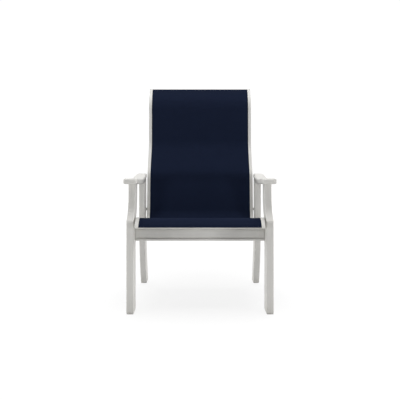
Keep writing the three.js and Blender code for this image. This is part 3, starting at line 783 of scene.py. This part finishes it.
# %% Make the front legs
front_foot_depth = 89.0
kink_height = 434.9
curve_height = 549.9         # where both edges have turned upright
post_front = 72.0
post_back = 156.0
Bend = namedtuple("Bend", "radius start end")     # angles in degrees
heel_height = 384.8
heel = Bend(80.0, 180, 135.83)                    # behind, where the foot ends
throat = Bend(127.84, -64.1, 0)                   # in front, from the kink to the post
shoulder = Bend(157.0, -44.17, 0)                 # behind, into the post


def arc(y, z, bend, count):
    """Points on an arc in Y and Z, in millimetres"""
    points = []
    for i in range(count + 1):
        angle = math.radians(bend.start + (bend.end - bend.start) * i / count)
        points.append((y + bend.radius * math.cos(angle), z + bend.radius * math.sin(angle)))
    return points


def front_leg_rungs(low_count=6, high_count=14):
    rise = (kink_height - heel_height) / low_count
    plumb = [(0.0, heel_height + rise * i) for i in range(low_count + 1)]
    foot_rear = arc(front_foot_depth + heel.radius, heel_height, heel, low_count)
    post_low = arc(post_front - throat.radius, curve_height, throat, high_count)
    post_rear = arc(post_back - shoulder.radius, curve_height, shoulder, high_count)
    stops = [rung((0, leg_bottom / mm), (front_foot_depth, leg_bottom / mm))]
    stops += [rung(*points) for points in zip(plumb, foot_rear)]
    stops += [rung(*points) for points in zip(post_low, post_rear)][1:]
    return stops + [rung(post_top(post_front), post_top(post_back))]


def board_legs(end, stops, bolts):
    """Carry a leg's section up from the foot, and cut it for its bolts, glide, arm and tenon"""
    size = (leg_thickness, stops[0].size * mm)
    leg = new_section(end + "_leg_left_board", stops[0].place, size, 2)
    carry(stops)
    ease_edges(leg, board_edge)
    mark_edges(leg, 0)
    for bolt, radius in bolts.items():
        bore(leg, bolt + "_left", radius)
    bore(leg, "stretcher_screw_" + end + "_left", tenon_shank)
    bore_upright(leg, "foot_glide_" + end + "_left", glide_stem)
    bore_upright(leg, "arm_screw_" + end + "_left", arm_shank)
    carve(leg, tenon_bar("mortise", hole_gap))
    dress_pair(leg, end + "_leg", board_upright, "board")


front_bolts = {"rail_bolt_front": rail_shank, "apron_bolt_upper": frame_shank,
               "apron_bolt_lower": frame_shank}
board_legs("front", front_leg_rungs(), front_bolts)

# %% [markdown]
# ## Rear legs
#
# The rear leg is plumb beside the back rail, and below the seat it sweeps back to the floor.
# Both edges are arcs that leave the plumb lines at the same height.

# %% Make the rear legs
rear_post_front = 510.3
rear_post_back = 596.3
sweep_height = 430.0
front_kick = 101.0
back_kick = 105.0


def swept(edge, kick, height):
    """How far back an edge lies at a height, when it has swept back by its kick at the floor"""
    radius = (sweep_height ** 2 + kick ** 2) / (2 * kick)
    drop = max(0.0, sweep_height - height)
    return edge + radius - math.sqrt(radius ** 2 - drop ** 2)


def rear_leg_rungs(count=24):
    stops = []
    bottom = leg_bottom / mm
    for i in range(count + 1):
        height = bottom + (sweep_height - bottom) * i / count
        stops.append(rung((swept(rear_post_front, front_kick, height), height),
                          (swept(rear_post_back, back_kick, height), height)))
    return stops + [rung(post_top(rear_post_front), post_top(rear_post_back))]


rear_bolts = {"rail_bolt_rear": rail_shank, "rear_stretcher_bolt": frame_shank}
board_legs("rear", rear_leg_rungs(), rear_bolts)

# %% [markdown]
# ## Arms
#
# The arm's front end is a rectangle that is carried back along the wave. Its inner edge steps
# outwards at the rear to clear the back rail, so the section narrows about its outer edge
# there. The rear outer corner is rounded in plan first. A wide bevel then rolls every edge
# over and gives the pill shape that shows at the nose. Two stepped bores hold the screws and
# the plugs that cover them.

# %% Make the arms
arm_inner, arm_outer = (corner.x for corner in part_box("arm_left"))
arm_clear_inner = 307 * mm   # inner edge beside the back rail
arm_step_start = 424.0
arm_step_end = 484.0
arm_edge = 9 * mm
arm_corner = 30 * mm
arm_screw_head = 5.5 * mm
plug_radius = 6.5 * mm


def arm_width(place):
    step = (arm_clear_inner - arm_inner) * ease(place, arm_step_start, arm_step_end)
    return arm_outer - arm_inner - step


def arm_board(count=32):
    places = [arm_front + (arm_rear - arm_front) * i / count for i in range(count + 1)]
    edge = [spot(y, arm_top(y) - arm_thickness / 2, arm_outer) for y in places]
    widths = [arm_width(y) for y in places]
    first = edge[0] - Vector((widths[0] / 2, 0, 0))
    arm = new_section("arm_left_board", first, (widths[0], arm_thickness * mm), 1)
    for i in range(1, count + 1):
        extrude(edge[i] - edge[i - 1])
        resize((widths[i] / widths[i - 1], 1, 1), edge[i])
    select_where("EDGE", lambda middle: middle.x > arm_outer - mm
                 and middle.y > back(arm_rear) - mm and abs(middle.z - edge[-1].z) < mm)
    bpy.ops.mesh.bevel(offset=arm_corner, segments=8, affect="EDGES")
    ease_edges(arm, arm_edge, 7, above=50)
    mark_edges(arm, 2)
    return arm


arm = arm_board()
for end in ("front", "rear"):
    low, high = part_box("arm_plug_" + end + "_left")
    top = (leg_middle, (low.y + high.y) / 2, high.z)
    drill(arm, top, plug_radius + hole_gap, 2 * (high.z - low.z + hole_gap), axis=2)
    bore_upright(arm, "arm_screw_" + end + "_left", arm_screw_head)
dress_pair(arm, "arm", board_lengthwise, "board", smooth=28)

# %% [markdown]
# ## Apron and stretchers
#
# The apron's face is recessed between an upper and a lower lip. A deeper groove runs along
# each lip and draws a dark line there, and a rebate at each end draws one along the leg. Cuts
# and deleted cells shape its section, and the section is drawn out across the chair. The rear
# stretcher is a plain board, and the side stretchers have a tenon at each end. Their rear
# shoulder follows the sweep of the rear leg.

# %% Make the apron
apron_upper_lip = 11.5 * mm
apron_lower_lip = 9.8 * mm
apron_recess = 4.5 * mm
apron_groove_width = 5 * mm
apron_groove_depth = 8 * mm  # from the face of the lips
apron_lip_round = 4 * mm
apron_edge = 1.8 * mm
apron_rebate = Vector((4.5, 7, 0)) * mm  # across and behind the front, at each end


def apron_board():
    low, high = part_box("front_apron")
    middle_z = (low.z + high.z) / 2
    start_place = Vector((low.x, (low.y + high.y) / 2, middle_z))
    apron = new_section("front_apron_board", start_place, (high.y - low.y, high.z - low.z), 0)
    top = high.z - apron_upper_lip
    bottom = low.z + apron_lower_lip
    face = low.y + apron_recess
    groove = low.y + apron_groove_depth
    for height in (bottom, bottom + apron_groove_width, top - apron_groove_width, top):
        cut_section((0, 0, height), (0, 0, 1))
    for depth in (face, groove):
        cut_section((0, depth, 0), (0, 1, 0))
    delete_where(lambda middle: bottom < middle.z < top and middle.y < face)
    flat = (top - bottom) / 2 - apron_groove_width
    delete_where(lambda middle: bottom < middle.z < top and middle.y < groove
                 and abs(middle.z - (top + bottom) / 2) > flat)
    select_where("VERT", lambda middle: middle.y < low.y + mm and middle.z > top - mm)
    bpy.ops.mesh.bevel(offset=apron_lip_round, segments=5, affect="VERTICES")
    select_all()
    extrude((high.x - low.x, 0, 0))
    ease_edges(apron, apron_edge, 4)
    for way in (1, -1):
        end = Vector((way * high.x, low.y, middle_z))
        reach = apron_rebate + Vector((0, 0, high.z - low.z))
        carve(apron, new_block("rebate", end - reach, end + reach))
    mark_edges(apron, 1)
    print("apron", round((high.x - low.x) / mm), "mm long")
    return apron


dress(apron_board(), board_across, "board", "front_apron")

# %% Make the stretchers
stretcher_edge = 3 * mm


def rear_stretcher_board():
    stretcher = new_block("rear_stretcher_board", *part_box("rear_stretcher"))
    ease_edges(stretcher, stretcher_edge)
    mark_edges(stretcher, 1)
    return stretcher


def side_stretcher_board(rows=4):
    low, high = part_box("side_stretcher_left")
    front = back(front_foot_depth + gap)
    heights = [low.z + (high.z - low.z) * i / rows for i in range(rows + 1)]
    stretcher = new_block("side_stretcher_left_board", (low.x, front, low.z),
                          (high.x, back(rear_post_front), high.z), edit=True)
    for height in heights[1:-1]:
        cut_section((0, 0, height), (0, 0, 1))
    for height in heights:
        reach = swept(rear_post_front, front_kick, height / mm) - 2 * gap - rear_post_front
        select_where("VERT", lambda middle: middle.y > front + mm
                     and abs(middle.z - height) < near)
        move((0, reach * mm, 0))
    ease_edges(stretcher, stretcher_edge, 4)
    carve(stretcher, tenon_bar("tenon"), "UNION")
    for end in ("front", "rear"):
        bore(stretcher, "stretcher_screw_" + end + "_left", tenon_shank)
    mark_edges(stretcher, 0)
    return stretcher


dress(rear_stretcher_board(), board_across, "board", "rear_stretcher")
dress_pair(side_stretcher_board(), "side_stretcher", board_lengthwise, "board")

# %% [markdown]
# ## The line of the sling rails
#
# Each rail is one aluminium extrusion, bent in five places: over the knee, in the hollow of
# the seat, and three times up the back. A bender sets straight runs joined by arcs, so the
# line is built from its corner points and bend radii. A place on it has a position, a
# direction of travel, and a side that is called behind, where the chair's structure is.

# %% The rail line
rail_corners = [
    (-25.5, 403.5),          # lower front end
    (8, 455),                # knee
    (545, 351),              # hollow
    (574, 632),              # lumbar bend
    (671, 805),              # shoulder bend
    (671, 1055),             # neck bend
    (727, 1141.5),           # top end
]
rail_radii = [81, 75, 150, 110, 150]
Place = namedtuple("Place", "y z angle run")


def rail_line(step):
    """Places along the front face of the rail, with a turn of at most a step in degrees"""
    corners = [Vector(corner) for corner in rail_corners]
    ways = [(after - before).normalized() for before, after in zip(corners, corners[1:])]
    angles = [math.atan2(way.y, way.x) for way in ways]
    places = [Place(*corners[0], angles[0], 0.0)]
    run = 0.0
    last = corners[0]
    for i, radius in enumerate(rail_radii):
        corner, way = corners[i + 1], ways[i]
        bend = angles[i + 1] - angles[i]
        side = math.copysign(1, bend)
        first = corner - way * radius * math.tan(abs(bend) / 2)
        centre = first + side * radius * Vector((-way.y, way.x))
        run += (first - last).length
        count = math.ceil(abs(bend) / math.radians(step))
        for k in range(count + 1):
            heading = angles[i] + bend * k / count
            last = centre + side * radius * Vector((math.sin(heading), -math.cos(heading)))
            places.append(Place(*last, heading, run + radius * abs(bend) * k / count))
        run = places[-1].run
    run += (corners[-1] - last).length
    return places + [Place(*corners[-1], angles[-1], run)]


def beside(place, depth, along=0.0):
    """The point at a depth behind a place on the line, and a way further along it"""
    cosine = math.cos(place.angle)
    sine = math.sin(place.angle)
    return place.y + depth * sine + along * cosine, place.z - depth * cosine + along * sine


def trimmed(places, foot, head):
    """The places between the two ends, each end drawn in"""
    first, last = places[0], places[-1]
    low = Place(*beside(first, 0, foot), first.angle, first.run + foot)
    high = Place(*beside(last, 0, -head), last.angle, last.run - head)
    return [low, *places[1:-1], high]


line = rail_line(4)
print("rail line", round(line[-1].run), "mm long, with", len(line), "places")

# %% [markdown]
# ## Sling rails
#
# The rail's section is a box of 17 by 30 mm with two cavities: a groove that opens on the
# inner side, where the fabric slides in, and a closed chamber behind it. The section starts
# upright as a rectangle. Vertex bevels round its corners, straight cuts divide it, and the
# cells of the cavities are deleted. It is then tilted to the lower end and carried all along
# the line.

# %% Working on a rail's section
rail_inner, rail_outer = (corner.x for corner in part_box("sling_rail_left"))
rail_width = (rail_outer - rail_inner) / mm
rail_depth = 30.0
rail_wall = 2.5
rail_corner = 1.5
groove_lip = 2.5
groove_width = 6.1
slot_front = 1.9             # depths behind the front face of the rail
slot_back = 4.5
groove_back = 8.25
chamber_front = 10.7
chamber_back = rail_depth - rail_wall
chamber_outer = rail_width - rail_wall
cap_thickness = 3.0
foot_level = rail_corners[0][1]   # the lower end is cut level, so its plate can't be seen
slice_front = -60            # a block that cuts the end level reaches so far
slice_rear = 40


def rail_section(name, foot):
    """An upright rectangle of the rail's outline at a place"""
    centre = spot(foot.y + rail_depth / 2, foot.z, (rail_inner + rail_outer) / 2)
    section = new_section(name, centre, (rail_outer - rail_inner, rail_depth * mm), 2)
    bpy.ops.mesh.bevel(offset=rail_corner * mm, segments=4, affect="VERTICES")
    return section


def cut_cells(foot, x_places, depths):
    for x in x_places:
        cut_section((rail_inner + x * mm, 0, 0), (1, 0, 0))
    for depth in depths:
        cut_section((0, back(foot.y + depth), 0), (0, 1, 0))


def delete_cell(foot, x_range, depth_range):
    """Delete what lies between two places across and two depths in the section"""
    low_x, high_x = (rail_inner + x * mm for x in x_range)
    low_y, high_y = (back(foot.y + depth) for depth in depth_range)
    delete_where(lambda middle: low_x < middle.x < high_x and low_y < middle.y < high_y)


def sweep_rail(section, places):
    """Tilt the upright section square to the first place and carry it along the others"""
    select_all()
    stops = [Stop(spot(place.y, place.z), place.angle - quarter, 1) for place in places]
    turn_about(stops[0].place, stops[0].turn)
    carry(stops)
    face_outwards(section)


def foot_slice(low, high):
    """A roomy block that takes in a lower rail end between two heights"""
    return new_block("foot slice", (rail_inner - 5 * mm, back(slice_front), low * mm),
                     (rail_outer + 5 * mm, back(slice_rear), high * mm))

# %% Make the rails
rail_bore_reach = 13.3 * mm  # into the rail from its outer side


def sling_rail():
    places = trimmed(line, 0, cap_thickness + gap)
    foot = places[0]
    rail = rail_section("sling_rail_left_tube", foot)
    groove_end = groove_lip + groove_width
    cut_cells(foot, (groove_lip, groove_end, chamber_outer),
              (slot_front, slot_back, groove_back, chamber_front, chamber_back))
    delete_cell(foot, (0, groove_lip), (slot_front, slot_back))
    delete_cell(foot, (groove_lip, groove_end), (slot_front, groove_back))
    delete_cell(foot, (groove_lip, chamber_outer), (chamber_front, chamber_back))
    sweep_rail(rail, places)
    carve(rail, foot_slice(foot_level - rail_depth, foot_level + cap_thickness + gap))
    for end in ("front", "rear"):
        centre = centre_of("rail_bolt_" + end + "_left", rail_outer)
        drill(rail, centre, rail_shank + hole_gap, 2 * rail_bore_reach)
    return rail


dress_pair(sling_rail(), "sling_rail", coat.material, "rail", smooth=30)

# %% [markdown]
# ## Rail caps
#
# A moulded cap closes each end of a rail. The upper one is a plate with the rail's outline, a
# slot for the fabric, and a stub, drawn out of the plate's inner face, that grips the chamber.
# The lower one closes the level cut: it is a thin slice of the rail's outline, joined with a
# stub. Their eased rims catch a thin line of light.

# %% Make the caps
stub_length = 6.0
stub_front = -5.5            # the lower stub's reach in depth, behind the front feet
stub_back = 7.0
rim = 0.6 * mm
slice_reach = 60.0           # the lower end as far as the slice needs it


def top_cap_plug():
    places = [trimmed(line, 0, cap_thickness)[-1], line[-1]]
    foot = places[0]
    cap = rail_section("rail_cap_top_left_plug", foot)
    inside = (groove_lip + gap, chamber_outer - gap)
    depths = (chamber_front + gap, chamber_back - gap)
    cut_cells(foot, inside, (slot_front, slot_back, *depths))
    delete_cell(foot, (0, groove_lip + gap), (slot_front, slot_back))
    sweep_rail(cap, places)
    take(cap, edit=True)
    plate = spot(*beside(foot, sum(depths) / 2), rail_inner + sum(inside) / 2 * mm)
    select_where("FACE", lambda middle: (middle - plate).length < mm)
    extrude(spot(*beside(foot, 0, -stub_length)) - spot(foot.y, foot.z))
    ease_edges(cap, rim, 3)
    return cap


def foot_cap_plug():
    end = [place for place in line if place.run < slice_reach]
    cap = rail_section("rail_cap_front_left_plug", end[0])
    sweep_rail(cap, end)
    carve(cap, foot_slice(foot_level, foot_level + cap_thickness), "INTERSECT")
    ease_edges(cap, rim, 3)
    top = (foot_level + cap_thickness) * mm
    low = (rail_inner + (groove_lip + gap) * mm, back(stub_front), top - mm)
    high = (rail_outer - (rail_wall + gap) * mm, back(stub_back), top + stub_length * mm)
    carve(cap, new_block("stub", low, high), "UNION")
    return cap


for node, cap_plug in (("rail_cap_front", foot_cap_plug), ("rail_cap_top", top_cap_plug)):
    dress_pair(cap_plug(), node, pale_plastic, "plastic", smooth=35)

# %% [markdown]
# ## Bars between the rails
#
# Three flat tubes hold the rails apart against the pull of the fabric. Each is a rounded
# rectangle with a wall of 2 mm and a solid port down its middle, where a screw bites. The
# inset gives the wall, two cuts leave the port standing, and the rest is deleted.

# %% Make the bars
bar_width = 30 * mm
bar_height = 14 * mm
bar_corner = 5 * mm
bar_wall = 2 * mm
bar_port = 5 * mm            # half the width of the port
bar_depth = 19.1             # middle of the bars behind the front face of the rails
seat_way = Vector(rail_corners[2]) - Vector(rail_corners[1])
seat_angle = math.atan2(seat_way.y, seat_way.x)
seat_places = [place for place in line if abs(place.angle - seat_angle) < 1e-6]
bars = {                     # a place on the rail, and how far the bar lies beyond it
    "front": (seat_places[0], 40.0),
    "seat": (seat_places[-1], -20.0),
    "top": (line[-1], -34.0),
}


def rail_bar(name, place, along):
    half = rail_inner - gap * mm
    bar = new_section(name, (-half, 0, 0), (bar_width, bar_height), 0)
    bpy.ops.mesh.bevel(offset=bar_corner, segments=6, affect="VERTICES")
    select_all()
    bpy.ops.mesh.inset(thickness=bar_wall, use_boundary=True)
    for side in (1, -1):
        cut_section((0, side * bar_port, 0), (0, 1, 0))
    delete_where(lambda middle: bar_port < abs(middle.y) < bar_width / 2 - bar_wall
                 and abs(middle.z) < bar_height / 20)
    select_all()
    turn_about((0, 0, 0), place.angle)
    move(spot(*beside(place, bar_depth, along)))
    extrude((2 * half, 0, 0))
    face_outwards(bar)
    return bar


for name, (place, along) in bars.items():
    bar = rail_bar("spreader_" + name + "_bar", place, along)
    dress(bar, coat.material, "rail", "spreader_" + name, smooth=30)
    print(bar.name, round(bar.dimensions.x / mm, 1), "mm long")

# %% [markdown]
# ## Bolts and screws
#
# A button-head bolt is a shank whose end is widened to a flange and then drawn out in steps of
# a dome, and its drive is a six-sided socket. The pan-head screws are made the same way with a
# cross recess. Each kind is modelled once, pointing along X with its seat at the origin, and
# copied to the places of the CAD's fasteners.

# %% The kinds of fastener
Kind = namedtuple("Kind", "head_radius head_height shank_radius length drive nodes")
fasteners = {
    "rail_bolt": Kind(8 * mm, 4.5 * mm, rail_shank, 54.8 * mm, "socket",
                      ["rail_bolt_front", "rail_bolt_rear"]),
    "frame_bolt": Kind(7 * mm, 3.5 * mm, frame_shank, 70.6 * mm, "socket",
                       ["apron_bolt_upper", "apron_bolt_lower", "rear_stretcher_bolt"]),
    "tenon_screw": Kind(5 * mm, 2.5 * mm, tenon_shank, 25.3 * mm, "cross",
                        ["stretcher_screw_front", "stretcher_screw_rear"]),
    "bar_screw": Kind(4.5 * mm, 2.4 * mm, 2 * mm, 40 * mm, "cross",
                      ["spreader_screw_front", "spreader_screw_seat", "spreader_screw_top"]),
}
print("kinds of fastener:", ", ".join(fasteners))

# %% Make the fasteners
tip_share = 0.7              # of the shank's radius, at its tip
rim_share = 0.3              # of the head's height, below its dome
drive_share = 0.56           # of the head's height, as the drive's depth
socket_share = 0.37          # of the head's radius, as are the next two
recess_long = 0.52
recess_short = 0.13


def drive_cutters(kind):
    """The shapes of a six-sided socket or of a cross recess"""
    top = Vector((kind.head_height, 0, 0))
    depth = drive_share * kind.head_height
    if kind.drive == "socket":
        radius = socket_share * kind.head_radius
        return [new_rod("socket", top, radius, 2 * depth, 0, 6, edit=False)]
    long_way = recess_long * kind.head_radius
    short_way = recess_short * kind.head_radius
    halves = (Vector((depth, short_way, long_way)), Vector((depth, long_way, short_way)))
    return [new_block("recess", top - half, top + half) for half in halves]


def fastener(name, kind, rows=7):
    """A bolt or screw along X, with its head on the +X side of the origin"""
    length, head = kind.length, kind.head_radius
    bolt = new_rod(name, (-length / 2, 0, 0), kind.shank_radius, length, 0)
    select_where("FACE", lambda middle: middle.x < near - length)
    resize((1, tip_share, tip_share), (-length, 0, 0))
    select_where("FACE", lambda middle: middle.x > -near)
    profile = [(0, kind.shank_radius), (0, head), (rim_share * kind.head_height, head)]
    for i in range(1, rows + 1):
        angle = math.radians(90 * i / rows)
        share = rim_share + (1 - rim_share) * math.sin(angle)
        profile.append((share * kind.head_height, head * (0.5 + 0.5 * math.cos(angle))))
    carry([Stop(Vector((x, 0, 0)), 0, radius) for x, radius in profile])
    face_outwards(bolt)
    for cutter in drive_cutters(kind):
        carve(bolt, cutter)
    return bolt


def copy_to_nodes(master, nodes, material, slot, inset=None, ending="_piece"):
    """A copy for each CAD node of a kind: at its middle, or some way inside its outer end"""
    for node in nodes:
        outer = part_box(node + "_left")[1].x
        seat = centre_of(node + "_left", None if inset is None else outer - inset)
        for side in ("_left", "_right"):
            twin = copy_of(master, node + side + ending, seat, mirrored=side == "_right")
            dress(twin, material, slot, node + side, smooth=30)
    bpy.data.objects.remove(master)
    print("copied to", ", ".join(nodes))


for name, kind in fasteners.items():
    copy_to_nodes(fastener(name, kind), kind.nodes, steel.material, "steel", kind.head_height)

# %% [markdown]
# ## Spacers, plugs and glides
#
# A spacer is a short moulded spool that keeps the rail off the legs. Its ends are drawn out
# into flanges that spread the bolt's pull over the soft board. A plug is a slightly crowned
# button of the board's own material. A glide is a plate under the foot with a stem that is
# pressed into it.

# %% Make the spacers and plugs
spacer_waist = 6 * mm
spacer_flange = 1.3 * mm
spacer_edge = 0.4 * mm
spacer_drill = 30 * mm       # reaches through from the outer end
plug_crown = 0.3 * mm
plug_shoulder = 3 * mm
plug_edge = 0.6 * mm


def spacer():
    low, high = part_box("rail_spacer_front_left")
    length = high.x - low.x
    waist_length = length - 2 * spacer_flange
    wider = (high.z - low.z) / 2 / spacer_waist
    spool = new_rod("spacer", (-length / 2, 0, 0), spacer_waist, waist_length, 0)
    for way in (1, -1):
        end_x = (way * waist_length - length) / 2
        select_where("FACE", lambda middle: abs(middle.x - end_x) < near)
        extrude((0, 0, 0))
        resize((1, wider, wider), (end_x, 0, 0))
        extrude((way * spacer_flange, 0, 0))
    ease_edges(spool, spacer_edge, 3)
    drill(spool, (0, 0, 0), rail_shank + hole_gap, spacer_drill)
    return spool


def plug():
    low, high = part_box("arm_plug_front_left")
    height = high.z - low.z
    button = new_rod("plug", (0, 0, 0), (high.x - low.x) / 2, height, 2)
    select_where("FACE", lambda middle: middle.z > height / 2 - near)
    bpy.ops.mesh.inset(thickness=plug_shoulder)
    move((0, 0, plug_crown))
    ease_edges(button, plug_edge, 3)
    mark_edges(button, 2)
    return button


# the spacers get the plastic that is painted lighter against the shade they sit in
copy_to_nodes(spacer(), ["rail_spacer_front", "rail_spacer_rear"], spacer_plastic_painted_lighter, "plastic", 0)
copy_to_nodes(plug(), ["arm_plug_front", "arm_plug_rear"], board_lengthwise, "board",
              ending="_button")

# %% Make the glides
glide_spread = Vector((2.4, 2.4, 0)) * mm  # the plate fills the foot, as the photo shows it
glide_corner = 3 * mm
glide_edge = 0.8 * mm


def glide(name, node):
    low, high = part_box(node)
    plate_top = leg_bottom - gap * mm
    plate_corner = Vector((high.x, high.y, plate_top)) + glide_spread
    plate = new_block(name, low - glide_spread, plate_corner, edit=True)
    select_where("EDGE", lambda middle: abs(middle.z - (low.z + plate_top) / 2) < near)
    bpy.ops.mesh.bevel(offset=glide_corner, segments=6, affect="EDGES")
    ease_edges(plate, glide_edge, 3)
    centre = (leg_middle, (low.y + high.y) / 2, (plate_top / 2 + high.z) / 2)
    stem = new_rod("stem", centre, glide_stem, high.z - plate_top / 2, 2, 32, edit=False)
    carve(plate, stem, "UNION")
    return plate


for end in ("front", "rear"):
    node = "foot_glide_" + end
    pad = glide(node + "_left_pad", node + "_left")
    dress_pair(pad, node, pale_plastic, "plastic", smooth=30)

# %% [markdown]
# ## The sling
#
# The sling is one piece of woven fabric, stretched between the two rails and hemmed at both
# ends. The spline in each groove keeps it taut across, so it bends like sheet metal, and only
# the pull along the chair draws its middle a few millimetres into each bend. It is modelled
# from a strip of edges that is carried along the rail line: it starts at the loose end of the
# front hem, folds round, follows the whole line, folds again at the top and ends in the second
# hem. Its thickness comes last, and its UV map holds real metres for the weave.

# %% The way of the cloth
cloth_half_width = 287.5
cloth_depth = 2.9            # of its middle, behind the front face of the rails
cloth_thickness = 0.9
cloth_front_inset = 6.5      # from the lower end of the rails
hem_length = 24.0
hem_gap = 0.1                # between the two layers of a hem
layer = cloth_thickness + hem_gap


def place_at(places, distance):
    """The place at a distance from the first of some places, between its neighbours"""
    run = places[0].run + distance
    for low, high in zip(places, places[1:]):
        if low.run <= run <= high.run:
            share = (run - low.run) / (high.run - low.run) if high.run > low.run else 0
            return Place(*(a + (b - a) * share for a, b in zip(low, high)))
    return places[-1]


def fold(place, way):
    """The inner points of a half turn at an end: way is -1 at the foot and 1 at the head"""
    points = []
    for angle in (math.pi * i / 4 for i in range(1, 4)):
        depth = cloth_depth + layer / 2 + way * -math.cos(angle) * layer / 2
        points.append((*beside(place, depth, way * math.sin(angle) * layer / 2), place.run))
    return points


def points_at(places, depth):
    return [(*beside(place, depth), place.run) for place in places]


def cloth_path():
    """Points of the cloth's middle from hem to hem, with their run along the rail line"""
    places = trimmed(rail_line(3), cloth_front_inset + layer / 2, layer / 2)
    foot, head = places[0], places[-1]
    hem_steps = [hem_length * i / 4 for i in range(5)]
    front_hem = [place_at(places, step) for step in reversed(hem_steps)]
    top_hem = [place_at(places, head.run - foot.run - step) for step in hem_steps]
    return (points_at(front_hem, cloth_depth + layer) + fold(foot, -1)
            + points_at(places, cloth_depth) + fold(head, 1)
            + points_at(top_hem, cloth_depth + layer))


path = cloth_path()
steps = [math.dist(a[:2], b[:2]) for a, b in zip(path, path[1:])]

# %% The pull in the bends
bend_pull = {                # how far each bend draws the middle of the cloth, + is to the front
    1: -1.5,                 # knee
    2: 3.0,                  # hollow
    3: -1.5,                 # lumbar bend
    4: 2.0,                  # shoulder bend
    5: -1.0,                 # neck bend
}
bend_reach = 130.0           # along the cloth, to each side of a bend
hem_hold = 45.0              # the ends stay straight and take up the pull over this length
edge_hold = 2.5              # power by which the pull fades towards the rails


def pull_at(run):
    pull = 0.0
    for index, amount in bend_pull.items():
        corner = rail_corners[index]
        bend = min(line, key=lambda place: math.dist((place.y, place.z), corner))
        away = min(1.0, abs(run - bend.run) / bend_reach)
        pull += amount * (1 + math.cos(math.pi * away)) / 2
    ends = min(run - line[0].run, line[-1].run - run) - hem_length
    return pull * ease(ends, 0, hem_hold)


pulls = [round(pull_at(place.run), 1) for place in line]
print("the bends draw the cloth from", min(pulls), "to", max(pulls), "mm")

# %% Make the sling
cloth_columns = 28


def sling_strip():
    """The cloth without its thickness, row by row along its path"""
    deselect()
    bpy.ops.mesh.primitive_grid_add(x_subdivisions=cloth_columns, y_subdivisions=1, size=1)
    points = [spot(*point[:2]) for point in path]
    first, second = points[:2]
    away = second - first
    sling = start("sling_panel_cloth", (2 * cloth_half_width * mm, away.length, 1))
    select_all()
    turn_about((0, 0, 0), math.atan2(away.z, away.y))
    move((first + second) / 2)
    select_where("VERT", lambda middle: (Vector((0, *middle.yz)) - second).length < near)
    bpy.ops.mesh.select_mode(type="EDGE")
    for here, there in zip(points[1:], points[2:]):
        extrude(there - here)
    stop_editing()
    return sling


def lay_cloth_map(mesh):
    """A UV map in metres, across and along the cloth"""
    along = [0.0]
    for step in steps:
        along.append(along[-1] + step * mm)
    for old in list(mesh.uv_layers):
        mesh.uv_layers.remove(old)
    cloth_map = mesh.uv_layers.new(name="cloth")
    for loop in mesh.loops:
        row = loop.vertex_index // (cloth_columns + 1)
        cloth_map.data[loop.index].uv = (mesh.vertices[loop.vertex_index].co.x, along[row])


def draw_into_bends(mesh):
    """Move the middle of the cloth into each bend, square to its surface"""
    for vertex in mesh.vertices:
        run = path[vertex.index // (cloth_columns + 1)][2]
        angle = place_at(line, run).angle
        across = abs(vertex.co.x) / (cloth_half_width * mm)
        pull = pull_at(run) * (1 - across ** edge_hold) * mm
        vertex.co.y -= pull * math.sin(angle)
        vertex.co.z += pull * math.cos(angle)


sling = sling_strip()
lay_cloth_map(sling.data)
draw_into_bends(sling.data)
add_modifier(sling, "SOLIDIFY", thickness=cloth_thickness * mm, offset=0)
face_outwards(sling)
dress(sling, weave.material, "sling", "sling_panel", smooth=40)
print("sling has", len(sling.data.polygons), "faces")

# %% [markdown]
# ## Stitches
#
# A hem is sewn with two rows of lockstitch. One stitch is a short thread, a thin six-sided rod
# with narrowed ends, and an Array modifier repeats it across the cloth.

# %% Sew the hems
stitch_pitch = 4.2
stitch_length = 3.4
stitch_end = 0.2 * stitch_length  # length of each narrowed end
stitch_tip = 0.35            # of the thread's radius, at the tips
thread_radius = 0.32
hem_margin = 8               # left unsewn, for both ends of a row
stitch_rows = (6.0, 20.0)    # from the folded edge


def stitch_row(name, place):
    count = int((2 * cloth_half_width - hem_margin) / stitch_pitch)
    start_x = -(count - 1) * stitch_pitch / 2
    straight = stitch_length - 2 * stitch_end
    y, z = beside(place, cloth_depth - cloth_thickness / 2 - thread_radius / 3)
    row = new_rod(name, spot(y, z, start_x * mm), thread_radius * mm, straight * mm, 0, 6)
    for way in (1, -1):
        end_x = (start_x + way * straight / 2) * mm
        select_where("FACE", lambda middle: abs(middle.x - end_x) < near)
        extrude((way * stitch_end * mm, 0, 0))
        resize((1, stitch_tip, stitch_tip), spot(y, z, end_x))
    face_outwards(row)
    add_modifier(row, "ARRAY", count=count, use_relative_offset=False,
                 use_constant_offset=True, constant_offset_displace=(stitch_pitch * mm, 0, 0))
    dress(row, thread.material, "sling", smooth=70)
    return row


hem_places = trimmed(line, cloth_front_inset, 0)
hem_run = hem_places[-1].run - hem_places[0].run
for number, distance in enumerate(stitch_rows, 1):
    for hem, along in (("front", distance), ("top", hem_run - distance)):
        name = hem + "_hem_stitches_" + str(number)
        stitch_row(name, place_at(hem_places, along))

# %% [markdown]
# ## What stays from the CAD
#
# The splines lie inside the grooves and the arm screws under their plugs. Their CAD shapes are
# right, so they stay and only get their finishes.

# %% Finish the hidden pieces
for name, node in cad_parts.items():
    if name.startswith("sling_spline"):
        node.material_slots[0].material = spline_plastic
    elif name.startswith("arm_screw"):
        node.material_slots[0].material = steel.material
deselect()
print("finished the splines and the arm screws")

# %% [markdown]
# ## The sizes, and the end
#
# The dressed chair has to fill the same box as the CAD chair. Both boxes are printed.

# %% Write the sizes and finish
dressed_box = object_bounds()
for low, high in (cad_box, dressed_box):
    print("box", [round(v / mm, 1) for v in low], [round(v / mm, 1) for v in high])
